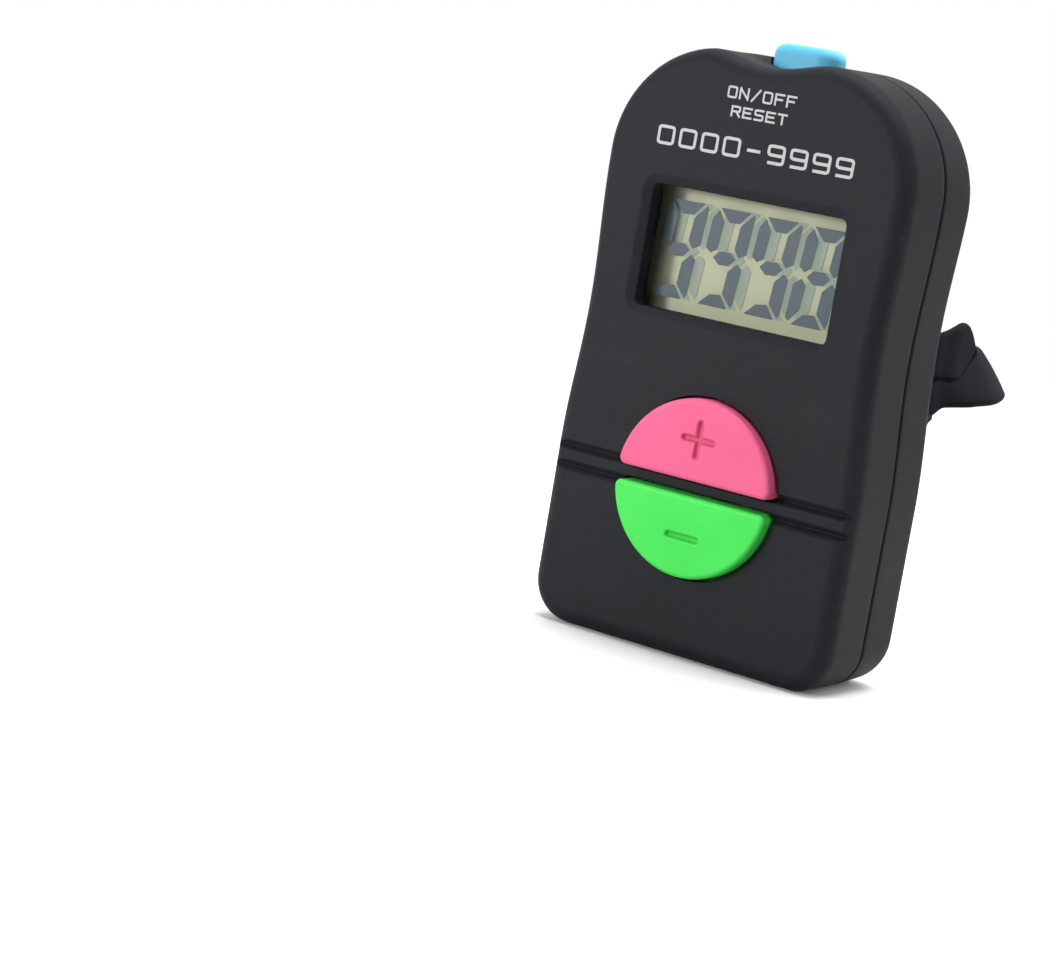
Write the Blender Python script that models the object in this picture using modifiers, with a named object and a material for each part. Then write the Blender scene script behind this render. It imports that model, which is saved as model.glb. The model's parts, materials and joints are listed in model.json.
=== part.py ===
"""Digital tally counter: a two-shell case with a display, three buttons, a board, a cell and a strap.

The frame: +X is to the right of someone who reads the display, +Z is up along the case, and the face
looks along -Y. The origin is the middle of the case's bottom end. Lengths are in metres.
"""

import math

import bmesh
import bpy
from mathutils import Matrix, Vector

MM = 0.001

# Case
CASE_HEIGHT = 65.0 * MM
FOOT_WIDTH = 38.2 * MM
WAIST_WIDTH = 36.6 * MM
HEAD_WIDTH = 37.7 * MM
CASE_DEPTH = 15.5 * MM
FRONT_SHELL_DEPTH = 7.8 * MM
WAIST_Z = 36.3 * MM
FOOT_SHOULDER_Z = 20.0 * MM
HEAD_CORNER_R = 12.4 * MM
FOOT_CORNER_R = 4.8 * MM
BACK_CORNER_EXTRA = 1.0 * MM
EDGE_R = 1.9 * MM
SIDE_WALL = 1.8 * MM
FACE_WALL = 2.1 * MM
BACK_WALL = 1.6 * MM
PARTING_GAP = 0.3 * MM
LIP_WALL = 0.7 * MM
LIP_LENGTH = 1.1 * MM
GAP = 0.3 * MM
THIN_GAP = 0.2 * MM

# Display window and display
WINDOW_WIDTH = 23.7 * MM
WINDOW_HEIGHT = 13.3 * MM
WINDOW_CENTRE_Z = 43.1 * MM
WINDOW_CORNER_R = 0.8 * MM
RIM_WIDTH = 1.2 * MM
RIM_DEPTH = 0.45 * MM
GLASS_MARGIN = 1.2 * MM
GLASS_THICK = 0.6 * MM
LEDGE_HEIGHT = 2.4 * MM
REFLECTOR_THICK = 0.3 * MM
FRAME_WALL = 0.9 * MM
FRAME_SHELF = 1.4 * MM
STRIP_THICK = 1.6 * MM
STRIP_END_MARGIN = 1.0 * MM

# Face buttons and the channels between them
BUTTON_CENTRE_Z = 18.55 * MM
BUTTON_R = 9.7 * MM
BUTTON_SPLIT = 1.64 * MM
BUTTON_PROUD = 1.3 * MM
BUTTON_TOP_THICK = 1.5 * MM
BUTTON_SKIRT = 0.9 * MM
BUTTON_EDGE_R = 0.5 * MM
BUTTON_CORNER_R = 0.8 * MM
FLANGE_WIDTH = 0.9 * MM
FLANGE_THICK = 0.8 * MM
BUTTON_TRAVEL = 0.6 * MM
SIGN_HALF_LENGTH = 2.2 * MM
SIGN_STROKE = 0.75 * MM
SIGN_DEPTH = 0.35 * MM
SIGN_OFFSET = 5.3 * MM
CHANNEL_HALF_WIDTH = 1.72 * MM
CHANNEL_DEPTH = 0.95 * MM
BAR_SUNK = 0.25 * MM

# Top button and the finger dip before it
POWER_LENGTH = 8.1 * MM
POWER_DEPTH = 4.4 * MM
POWER_PROUD = 1.75 * MM
POWER_CROWN = 0.4 * MM
POWER_EDGE_R = 0.8 * MM
POWER_FLANGE = 0.8 * MM
POWER_TRAVEL = 0.6 * MM
DIP_HALF_WIDTH = 6.1 * MM
DIP_DEPTH = 1.2 * MM

# Board and what is on it
BOARD_FRONT_DEPTH = 6.25 * MM
BOARD_THICK = 1.0 * MM
BOARD_MARGIN = 0.6 * MM
BOARD_BOTTOM_Z = 8.4 * MM
BOARD_SHOULDER_DROP = 12.6 * MM
BOARD_TOP_DROP = 7.8 * MM
BOARD_NECK_WIDTH = 20.8 * MM
CHIP_COVER_R = 4.2 * MM
CHIP_COVER_HEIGHT = 1.3 * MM
CHIP_COVER_Z = 44.0 * MM
CRYSTAL_R = 1.0 * MM
CRYSTAL_LENGTH = 6.0 * MM
CRYSTAL_X = -9.5 * MM
CRYSTAL_Z = 33.0 * MM
CHIP_SIZES = (2.0 * MM, 1.25 * MM, 0.9 * MM)
CHIP_PLACES = (
    ("capacitor_1", -8.0 * MM, 49.0 * MM),
    ("capacitor_2", -8.0 * MM, 38.5 * MM),
    ("resistor_1", 8.0 * MM, 49.0 * MM),
    ("resistor_2", 8.0 * MM, 38.5 * MM),
)

# Push switches
SWITCH_WIDTH = 5.2 * MM
SWITCH_BASE_HEIGHT = 1.8 * MM
SWITCH_COVER_THICK = 0.3 * MM
SWITCH_WELL_FLOOR = 0.45 * MM
PLUNGER_R = 1.6 * MM
PLUNGER_FOOT_R = 2.1 * MM
PLUNGER_FOOT_HEIGHT = 0.55 * MM
PLUNGER_STANDS = 0.8 * MM
PLUNGER_TRAVEL = 0.3 * MM
PLUNGER_PRESSED_GAP = 0.05 * MM
SIDE_SWITCH_DEPTH = 3.8 * MM
SIDE_PLUNGER_R = 1.1 * MM

# Cell, its contacts and its door
CELL_R = 5.8 * MM
CELL_THICK = 5.4 * MM
CELL_CAP_R = 4.9 * MM
CELL_CAP_HEIGHT = 0.6 * MM
CELL_Z = 14.0 * MM
CONTACT_THICK = 0.25 * MM
CONTACT_WIDTH = 3.0 * MM
DOOR_R = 8.3 * MM
DOOR_THICK = 1.25 * MM
DOOR_SKIRT_WALL = 0.7 * MM
DOOR_SKIRT_LENGTH = 2.2 * MM
DOOR_LUG_LENGTH = 1.2 * MM
DOOR_LUG_THICK = 0.8 * MM
DOOR_LUG_ANGLE = 24.0
DOOR_TURN = 45.0
COIN_SLOT_LENGTH = 10.0 * MM
COIN_SLOT_WIDTH = 1.6 * MM
COIN_SLOT_DEPTH = 0.6 * MM
SOCKET_WALL = 0.9 * MM

# Screws
UPPER_SCREW_INSET = 5.45 * MM
UPPER_SCREW_DROP = 9.2 * MM
LOWER_SCREW_INSET = 5.2 * MM
LOWER_SCREW_RISE = 5.4 * MM
CASE_BOSS_R = 2.3 * MM
CASE_SCREW_R = 0.9 * MM
CASE_HEAD_R = 1.7 * MM
CASE_HEAD_HEIGHT = 1.1 * MM
CASE_HEAD_SUNK = 0.5 * MM
CASE_THREAD_IN_BOSS = 3.4 * MM
BOARD_SCREW_X = 12.9 * MM
BOARD_SCREW_Z = 28.4 * MM
BOARD_POST_R = 1.8 * MM
BOARD_SCREW_R = 0.7 * MM
BOARD_HEAD_R = 1.4 * MM
BOARD_HEAD_HEIGHT = 0.8 * MM
BOARD_THREAD_LENGTH = 3.0 * MM
CROSS_SLOT_WIDTH = 0.45 * MM
CROSS_SLOT_DEPTH = 0.5 * MM

# Strap, its pins and lugs
STRAP_WIDTH = 6.8 * MM
STRAP_THICK = 1.2 * MM
STRAP_BOW = 0.2 * MM
STRAP_Z = 33.55 * MM
STRAP_TAIL_RISE = 3.55 * MM
STRAP_LOOP_RISE = 0.45 * MM
STRAP_TILT = 35.0
STRAP_POINT_LENGTH = 4.1 * MM
PIN_X = 15.0 * MM
PIN_R = 0.6 * MM
LUG_WALL = 1.3 * MM
LUG_WIDTH = 2.4 * MM
LUG_SIDE_MARGIN = 0.5 * MM
LUG_FOOT = 2.2 * MM
PIN_GAP_TOP = 39.4 * MM
LUG_EDGE_R = 1.2 * MM
LOOP_BULGE_X = 16.6 * MM
LOOP_BULGE_Y = 14.0 * MM
LOOP_REACH = 23.4 * MM
TAIL_END_X = 17.5 * MM
TAIL_END_Y = 8.75 * MM

# Places worked out from the sizes above
FACE_Y = -CASE_DEPTH / 2
BACK_Y = CASE_DEPTH / 2
PARTING_Y = FACE_Y + FRONT_SHELL_DEPTH + PARTING_GAP / 2
FACE_INNER_Y = FACE_Y + FACE_WALL
BACK_INNER_Y = BACK_Y - BACK_WALL
BOARD_FRONT_Y = FACE_Y + BOARD_FRONT_DEPTH
BOARD_BACK_Y = BOARD_FRONT_Y + BOARD_THICK
GLASS_FRONT_Y = FACE_INNER_Y + GAP
SWITCH_FACE_Y = BOARD_FRONT_Y - GAP
TOP_INNER_Z = CASE_HEIGHT - SIDE_WALL
BOARD_SHOULDER_Z = CASE_HEIGHT - BOARD_SHOULDER_DROP
BOARD_TOP_Z = CASE_HEIGHT - BOARD_TOP_DROP
CASE_SCREWS = (
    ("upper", HEAD_WIDTH / 2 - UPPER_SCREW_INSET, CASE_HEIGHT - UPPER_SCREW_DROP),
    ("lower", FOOT_WIDTH / 2 - LOWER_SCREW_INSET, LOWER_SCREW_RISE),
)

ARC_STEPS = 10
SIDE_STEPS = 7
ROUND_STEPS = 40
SMOOTH_ANGLE = math.radians(40)
EXTRA = 1.0 * MM


def clear_scene():
    """Remove every object that the scene starts with."""
    for obj in list(bpy.data.objects):
        bpy.data.objects.remove(obj, do_unlink=True)


def new_collection(name):
    """Make a collection in the scene and return it."""
    collection = bpy.data.collections.new(name)
    bpy.context.scene.collection.children.link(collection)
    return collection


clear_scene()
PARTS = new_collection("tally_counter")
CUTTERS = new_collection("cutters")


def material(name, color, roughness, metallic=0.0, alpha=1.0):
    """Return a Principled material."""
    mat = bpy.data.materials.new(name)
    mat.use_nodes = True
    shader = mat.node_tree.nodes["Principled BSDF"]
    shader.inputs["Base Color"].default_value = (*color, 1.0)
    shader.inputs["Roughness"].default_value = roughness
    shader.inputs["Metallic"].default_value = metallic
    shader.inputs["Alpha"].default_value = alpha
    return mat


BLACK_ABS = ((0.028, 0.029, 0.032), 0.62)
BLACK_RUBBER = ((0.022, 0.022, 0.024), 0.75)
STEEL = ((0.62, 0.62, 0.63), 0.3, 1.0)
NICKEL = ((0.72, 0.70, 0.66), 0.28, 1.0)


def adopt(obj, name, finish, collection=None):
    """Name an object, give it a material of its own and put it in a collection."""
    obj.name = name
    obj.data.name = name
    for owner in list(obj.users_collection):
        owner.objects.unlink(obj)
    (collection or PARTS).objects.link(obj)
    obj.data.materials.clear()
    obj.data.materials.append(material(name, *finish))
    obj.data.shade_smooth()
    obj.data.set_sharp_from_angle(angle=SMOOTH_ANGLE)
    return obj


def as_tool(obj):
    """Hide an object that only cuts or joins another."""
    for owner in list(obj.users_collection):
        owner.objects.unlink(obj)
    CUTTERS.objects.link(obj)
    obj.hide_render = True
    obj.display_type = "WIRE"
    return obj


def set_origin(obj, point):
    """Move an object's origin to a point and leave its shape where it is."""
    obj.data.transform(Matrix.Translation(-Vector(point)))
    obj.location = point
    return obj


def boolean(target, tool, operation):
    """Add an exact Boolean of a tool to a target."""
    as_tool(tool)
    modifier = target.modifiers.new(operation.lower(), "BOOLEAN")
    modifier.operation = operation
    modifier.solver = "EXACT"
    modifier.object = tool
    return target


def cut(target, *tools):
    """Cut each tool out of the target."""
    for tool in tools:
        boolean(target, tool, "DIFFERENCE")
    return target


def fuse(target, *tools):
    """Join each tool to the target."""
    for tool in tools:
        boolean(target, tool, "UNION")
    return target


def mesh_object(name, mesh):
    """Return an object for a mesh, linked to the parts."""
    obj = bpy.data.objects.new(name, mesh)
    PARTS.objects.link(obj)
    return obj


AXIS_TURN = {
    "X": Matrix(((0, 0, 1, 0), (1, 0, 0, 0), (0, 1, 0, 0), (0, 0, 0, 1))),
    "Y": Matrix(((1, 0, 0, 0), (0, 0, -1, 0), (0, 1, 0, 0), (0, 0, 0, 1))),
    "Z": Matrix.Identity(4),
}
AXIS_VECTOR = {"X": Vector((1, 0, 0)), "Y": Vector((0, 1, 0)), "Z": Vector((0, 0, 1))}


def slab(name, outlines, axis, low, high):
    """Return a flat outline, with any holes, made thick from low to high along an axis.

    An outline's points are (y, z) on axis X, (x, z) on axis Y and (x, y) on axis Z.
    """
    curve = bpy.data.curves.new(name, "CURVE")
    curve.dimensions = "2D"
    curve.fill_mode = "BOTH"
    curve.extrude = (high - low) / 2
    for outline in outlines:
        spline = curve.splines.new("POLY")
        spline.points.add(len(outline) - 1)
        for point, (u, v) in zip(spline.points, outline):
            point.co = (u, v, 0.0, 1.0)
        spline.use_cyclic_u = True
    guide = bpy.data.objects.new(name, curve)
    PARTS.objects.link(guide)
    middle = AXIS_VECTOR[axis] * ((low + high) / 2)
    guide.matrix_world = Matrix.Translation(middle) @ AXIS_TURN[axis]
    bpy.context.view_layer.update()
    mesh = bpy.data.meshes.new_from_object(guide.evaluated_get(bpy.context.evaluated_depsgraph_get()))
    place = guide.matrix_world.copy()
    bpy.data.objects.remove(guide, do_unlink=True)
    work = bmesh.new()
    work.from_mesh(mesh)
    bmesh.ops.transform(work, matrix=place, verts=work.verts)
    bmesh.ops.remove_doubles(work, verts=work.verts, dist=1e-7)
    bmesh.ops.dissolve_limit(work, angle_limit=math.radians(0.05), verts=[], edges=work.edges)
    bmesh.ops.recalc_face_normals(work, faces=work.faces)
    work.to_mesh(mesh)
    work.free()
    mesh.materials.clear()
    return mesh_object(name, mesh)


def arc(cx, cy, radius, start, end, steps):
    """Return points along an arc, from and to angles in degrees."""
    points = []
    for i in range(steps + 1):
        angle = math.radians(start + (end - start) * i / steps)
        points.append((cx + radius * math.cos(angle), cy + radius * math.sin(angle)))
    return points


def circle(cx, cy, radius, steps=ROUND_STEPS):
    """Return the points of a circle."""
    return arc(cx, cy, radius, 0, 360, steps)[:-1]


def rectangle(cx, cy, width, height):
    """Return the corners of a rectangle."""
    return [
        (cx - width / 2, cy - height / 2),
        (cx + width / 2, cy - height / 2),
        (cx + width / 2, cy + height / 2),
        (cx - width / 2, cy + height / 2),
    ]


def round_rectangle(cx, cy, width, height, radius, steps=4):
    """Return a rectangle with round corners."""
    radius = min(radius, width / 2 - 1e-6, height / 2 - 1e-6)
    points = []
    for sx, sy, start in ((1, -1, -90), (1, 1, 0), (-1, 1, 90), (-1, -1, 180)):
        x = cx + sx * (width / 2 - radius)
        y = cy + sy * (height / 2 - radius)
        points += arc(x, y, radius, start, start + 90, steps)
    return points


def cylinder(name, axis, centre, radius, low, high, steps=ROUND_STEPS):
    """Return a cylinder along an axis, where centre is given as in slab."""
    bm = bmesh.new()
    bmesh.ops.create_cone(
        bm, cap_ends=True, segments=steps, radius1=radius, radius2=radius, depth=high - low
    )
    offset = Matrix.Translation(Vector((centre[0], centre[1], 0)))
    middle = Matrix.Translation(AXIS_VECTOR[axis] * ((low + high) / 2))
    bmesh.ops.transform(bm, matrix=middle @ AXIS_TURN[axis] @ offset, verts=bm.verts)
    bmesh.ops.recalc_face_normals(bm, faces=bm.faces)
    mesh = bpy.data.meshes.new(name)
    bm.to_mesh(mesh)
    bm.free()
    return mesh_object(name, mesh)


def box(name, low, high):
    """Return a box between two corners."""
    low, high = Vector(low), Vector(high)
    bm = bmesh.new()
    bmesh.ops.create_cube(bm, size=1.0)
    size = high - low
    bmesh.ops.transform(
        bm,
        matrix=Matrix.Translation((low + high) / 2) @ Matrix.Diagonal((*size, 1.0)),
        verts=bm.verts,
    )
    mesh = bpy.data.meshes.new(name)
    bm.to_mesh(mesh)
    bm.free()
    return mesh_object(name, mesh)


def loft(name, rings):
    """Return a closed solid through rings of equally many points, with flat ends."""
    bm = bmesh.new()
    layers = []
    for ring in rings:
        layers.append([bm.verts.new(point) for point in ring])
    count = len(layers[0])
    for lower, upper in zip(layers, layers[1:]):
        for i in range(count):
            j = (i + 1) % count
            bm.faces.new((lower[i], lower[j], upper[j], upper[i]))
    bm.faces.new(list(reversed(layers[0])))
    bm.faces.new(layers[-1])
    bmesh.ops.recalc_face_normals(bm, faces=bm.faces)
    mesh = bpy.data.meshes.new(name)
    bm.to_mesh(mesh)
    bm.free()
    return mesh_object(name, mesh)


def bevel(obj, width, segments, chosen):
    """Round the edges whose two ends pass the test called chosen."""
    mesh = obj.data
    weights = mesh.attributes.new("bevel_weight_edge", "FLOAT", "EDGE")
    for edge in mesh.edges:
        first, second = (mesh.vertices[i].co for i in edge.vertices)
        weights.data[edge.index].value = 1.0 if chosen(first, second) else 0.0
    modifier = obj.modifiers.new("edge", "BEVEL")
    modifier.limit_method = "WEIGHT"
    modifier.width = width
    modifier.segments = segments
    modifier.use_clamp_overlap = True
    return obj


def blend(a, b, t):
    """Return a smooth step from a to b as t goes from 0 to 1."""
    return a + (b - a) * (0.5 - 0.5 * math.cos(math.pi * t))


def side_points():
    """Return the right side of the case outline, from the foot corner up to the head corner."""
    head_z = CASE_HEIGHT - HEAD_CORNER_R - BACK_CORNER_EXTRA
    points = []
    for i in range(SIDE_STEPS + 1):
        t = i / SIDE_STEPS
        z = FOOT_SHOULDER_Z + (WAIST_Z - FOOT_SHOULDER_Z) * t
        points.append((blend(FOOT_WIDTH / 2, WAIST_WIDTH / 2, t), z))
    for i in range(1, SIDE_STEPS):
        t = i / SIDE_STEPS
        z = WAIST_Z + (head_z - WAIST_Z) * t
        points.append((blend(WAIST_WIDTH / 2, HEAD_WIDTH / 2, t), z))
    return points


def case_outline(inset=0.0, rounder=0.0):
    """Return the case outline in order round the case, moved in by inset, its corners rounder by rounder."""
    head_r = HEAD_CORNER_R + rounder
    foot_r = FOOT_CORNER_R + rounder
    head_x = HEAD_WIDTH / 2 - head_r
    foot_x = FOOT_WIDTH / 2 - foot_r
    right = arc(foot_x, foot_r, foot_r - inset, -90, 0, 6)
    right += [(x - inset, z) for x, z in side_points()]
    right += arc(head_x, CASE_HEIGHT - head_r, head_r - inset, 0, 90, ARC_STEPS + 2)
    left = [(-x, z) for x, z in reversed(right)]
    return right + left


def half_disc(radius, flat, corner_r, upper):
    """Return a half disc with round corners about the buttons' centre, flat on the side of the bar."""
    corner_x = math.sqrt((radius - corner_r) ** 2 - (flat + corner_r) ** 2)
    meet = math.degrees(math.atan2(flat + corner_r, corner_x))
    points = arc(corner_x, flat + corner_r, corner_r, -90, meet, 3)
    points += arc(0, 0, radius, meet, 180 - meet, 26)[1:-1]
    points += arc(-corner_x, flat + corner_r, corner_r, 180 - meet, 270, 3)
    sign = 1 if upper else -1
    points = [(x, BUTTON_CENTRE_Z + sign * z) for x, z in points]
    return points if upper else list(reversed(points))


def at_y(points, y):
    """Return (x, z) points as places at one y."""
    return [(x, y, z) for x, z in points]


def case_bosses(low, high, radius):
    """Return a cylinder at each case screw."""
    return [
        cylinder("boss", "Y", (side * x, z), radius, low, high, 20)
        for _, x, z in CASE_SCREWS
        for side in (-1, 1)
    ]


def channel_profile():
    """Return the section of the two channels and the bar between them, as (y, z) points."""
    hole_edge = BUTTON_SPLIT / 2 - GAP
    middle = (CHANNEL_HALF_WIDTH + hole_edge) / 2
    upper = [
        (FACE_Y, CHANNEL_HALF_WIDTH),
        (FACE_Y + CHANNEL_DEPTH, middle),
        (FACE_Y + BAR_SUNK, hole_edge),
    ]
    lower = [(y, -z) for y, z in reversed(upper)]
    outside = [(FACE_Y - EXTRA, -CHANNEL_HALF_WIDTH - EXTRA), (FACE_Y - EXTRA, CHANNEL_HALF_WIDTH + EXTRA)]
    return [(y, BUTTON_CENTRE_Z + z) for y, z in upper + lower + outside]


def finger_dip():
    """Return the rounded tool that scoops the top edge before the top button."""
    radius = (DIP_HALF_WIDTH**2 + DIP_DEPTH**2) / (2 * DIP_DEPTH)
    centre_z = CASE_HEIGHT - DIP_DEPTH + radius
    full_y = PARTING_Y - POWER_DEPTH / 2
    end_y = PARTING_Y - PARTING_GAP
    rings = [at_y(circle(0, centre_z, radius, 72), FACE_Y - EXTRA)]
    for i in range(6):
        t = i / 5
        r = radius - DIP_DEPTH * (1 - math.cos(math.pi * t)) / 2
        rings.append(at_y(circle(0, centre_z, r, 72), full_y + (end_y - full_y) * t))
    return loft("finger_dip", rings)


def power_plan(margin):
    """Return the top button's plan, with a margin round it."""
    width = POWER_LENGTH + 2 * margin
    depth = POWER_DEPTH + 2 * margin
    return round_rectangle(0, PARTING_Y, width, depth, POWER_DEPTH * 0.48 + margin, 5)


def front_shell():
    """Build the front half of the case."""
    rear = PARTING_Y - PARTING_GAP / 2
    shell = slab("front_shell", [case_outline()], "Y", FACE_Y, rear)
    bevel(shell, EDGE_R, 5, lambda a, b: max(a.y, b.y) < FACE_Y + 1e-6)
    cut(shell, slab("front_cavity", [case_outline(SIDE_WALL)], "Y", FACE_INNER_Y, rear + EXTRA))
    lip = slab(
        "front_lip",
        [case_outline(SIDE_WALL - LIP_WALL), case_outline(SIDE_WALL + 0.01 * MM)],
        "Y",
        rear - EXTRA,
        rear + PARTING_GAP + LIP_LENGTH,
    )
    fuse(shell, lip)
    fuse(shell, *case_bosses(FACE_INNER_Y - EXTRA, rear, CASE_BOSS_R))
    for side in (-1, 1):
        place = (side * BOARD_SCREW_X, BOARD_SCREW_Z)
        fuse(shell, cylinder("post", "Y", place, BOARD_POST_R, FACE_INNER_Y - EXTRA, SWITCH_FACE_Y, 20))
        hole_low = BOARD_FRONT_Y - BOARD_THREAD_LENGTH - GAP
        cut(shell, cylinder("post_hole", "Y", place, BOARD_SCREW_R + GAP / 2, hole_low, EXTRA + rear, 12))
    boss_floor = rear - CASE_THREAD_IN_BOSS - GAP
    cut(shell, *case_bosses(boss_floor, rear + EXTRA, CASE_SCREW_R + GAP / 2))
    cut(shell, slab("channels", [channel_profile()], "X", -FOOT_WIDTH, FOOT_WIDTH))
    for upper in (True, False):
        hole = half_disc(BUTTON_R + GAP, BUTTON_SPLIT / 2 - GAP, BUTTON_CORNER_R + GAP, upper)
        cut(shell, slab("button_hole", [hole], "Y", FACE_Y - EXTRA, FACE_INNER_Y + EXTRA))
    inner = round_rectangle(0, WINDOW_CENTRE_Z, WINDOW_WIDTH, WINDOW_HEIGHT, WINDOW_CORNER_R)
    cut(shell, slab("window", [inner], "Y", FACE_Y - EXTRA, FACE_INNER_Y + EXTRA))
    outer = round_rectangle(
        0,
        WINDOW_CENTRE_Z,
        WINDOW_WIDTH + 2 * RIM_WIDTH,
        WINDOW_HEIGHT + 2 * RIM_WIDTH,
        WINDOW_CORNER_R + RIM_WIDTH,
    )
    rim = loft(
        "window_rim",
        [at_y(outer, FACE_Y - EXTRA), at_y(outer, FACE_Y), at_y(inner, FACE_Y + RIM_DEPTH)],
    )
    cut(shell, rim)
    cut(shell, finger_dip())
    cut(shell, slab("power_hole", [power_plan(GAP)], "Z", TOP_INNER_Z - EXTRA, CASE_HEIGHT + EXTRA))
    return adopt(shell, "front_shell", BLACK_ABS)


def socket_centre():
    """Return the cell's axis as (x, z)."""
    return (0.0, CELL_Z)


def wedge(radius, angle, width, steps=6):
    """Return a pie slice about the cell's axis, width in degrees, as (x, z) points."""
    cx, cz = socket_centre()
    return [(cx, cz)] + arc(cx, cz, radius, angle - width / 2, angle + width / 2, steps)


def lug_spans():
    """Return the lower and the upper lug's inner and outer z."""
    low = STRAP_Z - STRAP_WIDTH / 2 - GAP
    return (low, low - LUG_WALL), (PIN_GAP_TOP, PIN_GAP_TOP + LUG_WALL)


def strap_lugs():
    """Return the four lugs that carry the strap's pins, each with a foot that curves into the back."""
    lugs = []
    top = PIN_Y + PIN_R + LUG_SIDE_MARGIN
    root = BACK_Y - BACK_WALL / 2
    for side in (-1, 1):
        for inner, outer in lug_spans():
            away = 1 if outer > inner else -1
            foot = [
                (BACK_Y + (top - BACK_Y) * (1 - math.sin(angle)), outer + away * LUG_FOOT * (1 - math.cos(angle)))
                for angle in (math.radians(15 * i) for i in range(7))
            ]
            profile = [(root, inner), (top, inner)] + foot + [(root, outer + away * LUG_FOOT)]
            low_x = side * PIN_X - LUG_WIDTH / 2
            lug = slab("lug", [profile], "X", low_x, low_x + LUG_WIDTH)
            bevel(lug, LUG_EDGE_R, 4, lambda a, b: min(a.y, b.y) > top - 1e-6 and abs(a.x - b.x) < 1e-6)
            lugs.append(lug)
    return lugs


PIN_Y = BACK_Y + GAP + STRAP_THICK + GAP + PIN_R


def pin_holes(margin):
    """Return a bar along each strap pin."""
    (low, low_outer), (high, high_outer) = lug_spans()
    start = low + (low_outer - low) * 0.6 - margin
    end = high + (high_outer - high) * 0.6 + margin
    return [
        cylinder("pin", "Z", (side * PIN_X, PIN_Y), PIN_R + margin, start, end, 16)
        for side in (-1, 1)
    ]


def door_places():
    """Return the door's main planes along Y: plate inside, ledge inside, lug front and lug back."""
    plate = BACK_Y - DOOR_THICK
    ledge_back = plate - GAP
    lug_back = ledge_back - DOOR_LUG_LENGTH * 0.75 - GAP
    return plate, ledge_back, lug_back - DOOR_LUG_THICK, lug_back


def rear_shell():
    """Build the rear half of the case, with its cell socket, lugs and screw holes."""
    front = PARTING_Y + PARTING_GAP / 2
    outer = case_outline()
    back = case_outline(rounder=BACK_CORNER_EXTRA)
    shell = loft("rear_shell", [at_y(outer, front), at_y(back, BACK_Y)])
    bevel(shell, EDGE_R, 5, lambda a, b: min(a.y, b.y) > BACK_Y - 1e-6)
    cut(shell, slab("rear_cavity", [case_outline(SIDE_WALL)], "Y", front - EXTRA, BACK_INNER_Y))
    rebate = case_outline(SIDE_WALL - LIP_WALL - GAP)
    cut(shell, slab("rebate", [rebate], "Y", front - EXTRA, front + LIP_LENGTH + GAP))
    boss_front = front + GAP
    fuse(shell, *case_bosses(boss_front, BACK_INNER_Y + EXTRA / 2, CASE_BOSS_R))
    cx, cz = socket_centre()
    skirt_r = DOOR_R - DOOR_LUG_LENGTH
    plate, ledge_back, lug_front, lug_back = door_places()
    socket_r = DOOR_R + SOCKET_WALL + GAP
    socket = cylinder("socket", "Y", (cx, cz), socket_r, lug_front - GAP, BACK_INNER_Y + EXTRA / 2)
    fuse(shell, socket)
    cut(shell, cylinder("door_seat", "Y", (cx, cz), DOOR_R + GAP, ledge_back, BACK_Y + EXTRA))
    cut(shell, cylinder("door_throat", "Y", (cx, cz), skirt_r + GAP, lug_front - EXTRA, BACK_Y))
    cut(shell, cylinder("lug_race", "Y", (cx, cz), DOOR_R + GAP, lug_front - EXTRA, lug_back + GAP))
    for turn in (0, 180):
        notch = wedge(DOOR_R + GAP, turn - DOOR_TURN, DOOR_LUG_ANGLE + 8)
        cut(shell, slab("lug_notch", [notch], "Y", lug_front - EXTRA, BACK_Y - DOOR_THICK))
    cut(shell, *case_bosses(front - EXTRA, BACK_Y + EXTRA, CASE_SCREW_R + GAP))
    head_low = BACK_Y - CASE_HEAD_SUNK - CASE_HEAD_HEIGHT - GAP
    cut(shell, *case_bosses(head_low, BACK_Y + EXTRA, CASE_HEAD_R + GAP))
    fuse(shell, *strap_lugs())
    cut(shell, *pin_holes(GAP / 3))
    cut(shell, slab("power_hole", [power_plan(GAP)], "Z", TOP_INNER_Z - EXTRA, CASE_HEIGHT + EXTRA))
    return adopt(shell, "rear_shell", BLACK_ABS)


def sign_strokes(centre_z, upright):
    """Return the strokes of a plus or a minus sign, as outlines."""
    length = 2 * SIGN_HALF_LENGTH
    strokes = [round_rectangle(0, centre_z, length, SIGN_STROKE, SIGN_STROKE / 2, 3)]
    if upright:
        strokes.append(round_rectangle(0, centre_z, SIGN_STROKE, length, SIGN_STROKE / 2, 3))
    return strokes


def face_button(name, upper, color):
    """Build one half-disc button, hollow behind, with a flange and a post."""
    top_y = FACE_Y - BUTTON_PROUD
    flange_front = FACE_INNER_Y + GAP
    flange_back = flange_front + FLANGE_THICK
    flat = BUTTON_SPLIT / 2
    sign = 1 if upper else -1
    centre_z = BUTTON_CENTRE_Z + sign * SIGN_OFFSET
    button = slab(name, [half_disc(BUTTON_R, flat, BUTTON_CORNER_R, upper)], "Y", top_y, flange_back)
    bevel(button, BUTTON_EDGE_R, 3, lambda a, b: max(a.y, b.y) < top_y + 1e-6)
    flange = half_disc(BUTTON_R + FLANGE_WIDTH, flat, BUTTON_CORNER_R, upper)
    fuse(button, slab("flange", [flange], "Y", flange_front, flange_back))
    hollow = half_disc(BUTTON_R - BUTTON_SKIRT, flat + BUTTON_SKIRT, BUTTON_CORNER_R, upper)
    cut(button, slab("hollow", [hollow], "Y", top_y + BUTTON_TOP_THICK, flange_back + EXTRA))
    post = cylinder("post", "Y", (0, centre_z), PLUNGER_R, top_y + BUTTON_TOP_THICK / 2, button_foot_y(), 20)
    fuse(button, post)
    for stroke in sign_strokes(centre_z, upper):
        cut(button, slab("sign", [stroke], "Y", top_y - EXTRA, top_y + SIGN_DEPTH))
    set_origin(button, (0, FACE_Y, centre_z))
    return adopt(button, name, (color, 0.45))


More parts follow.
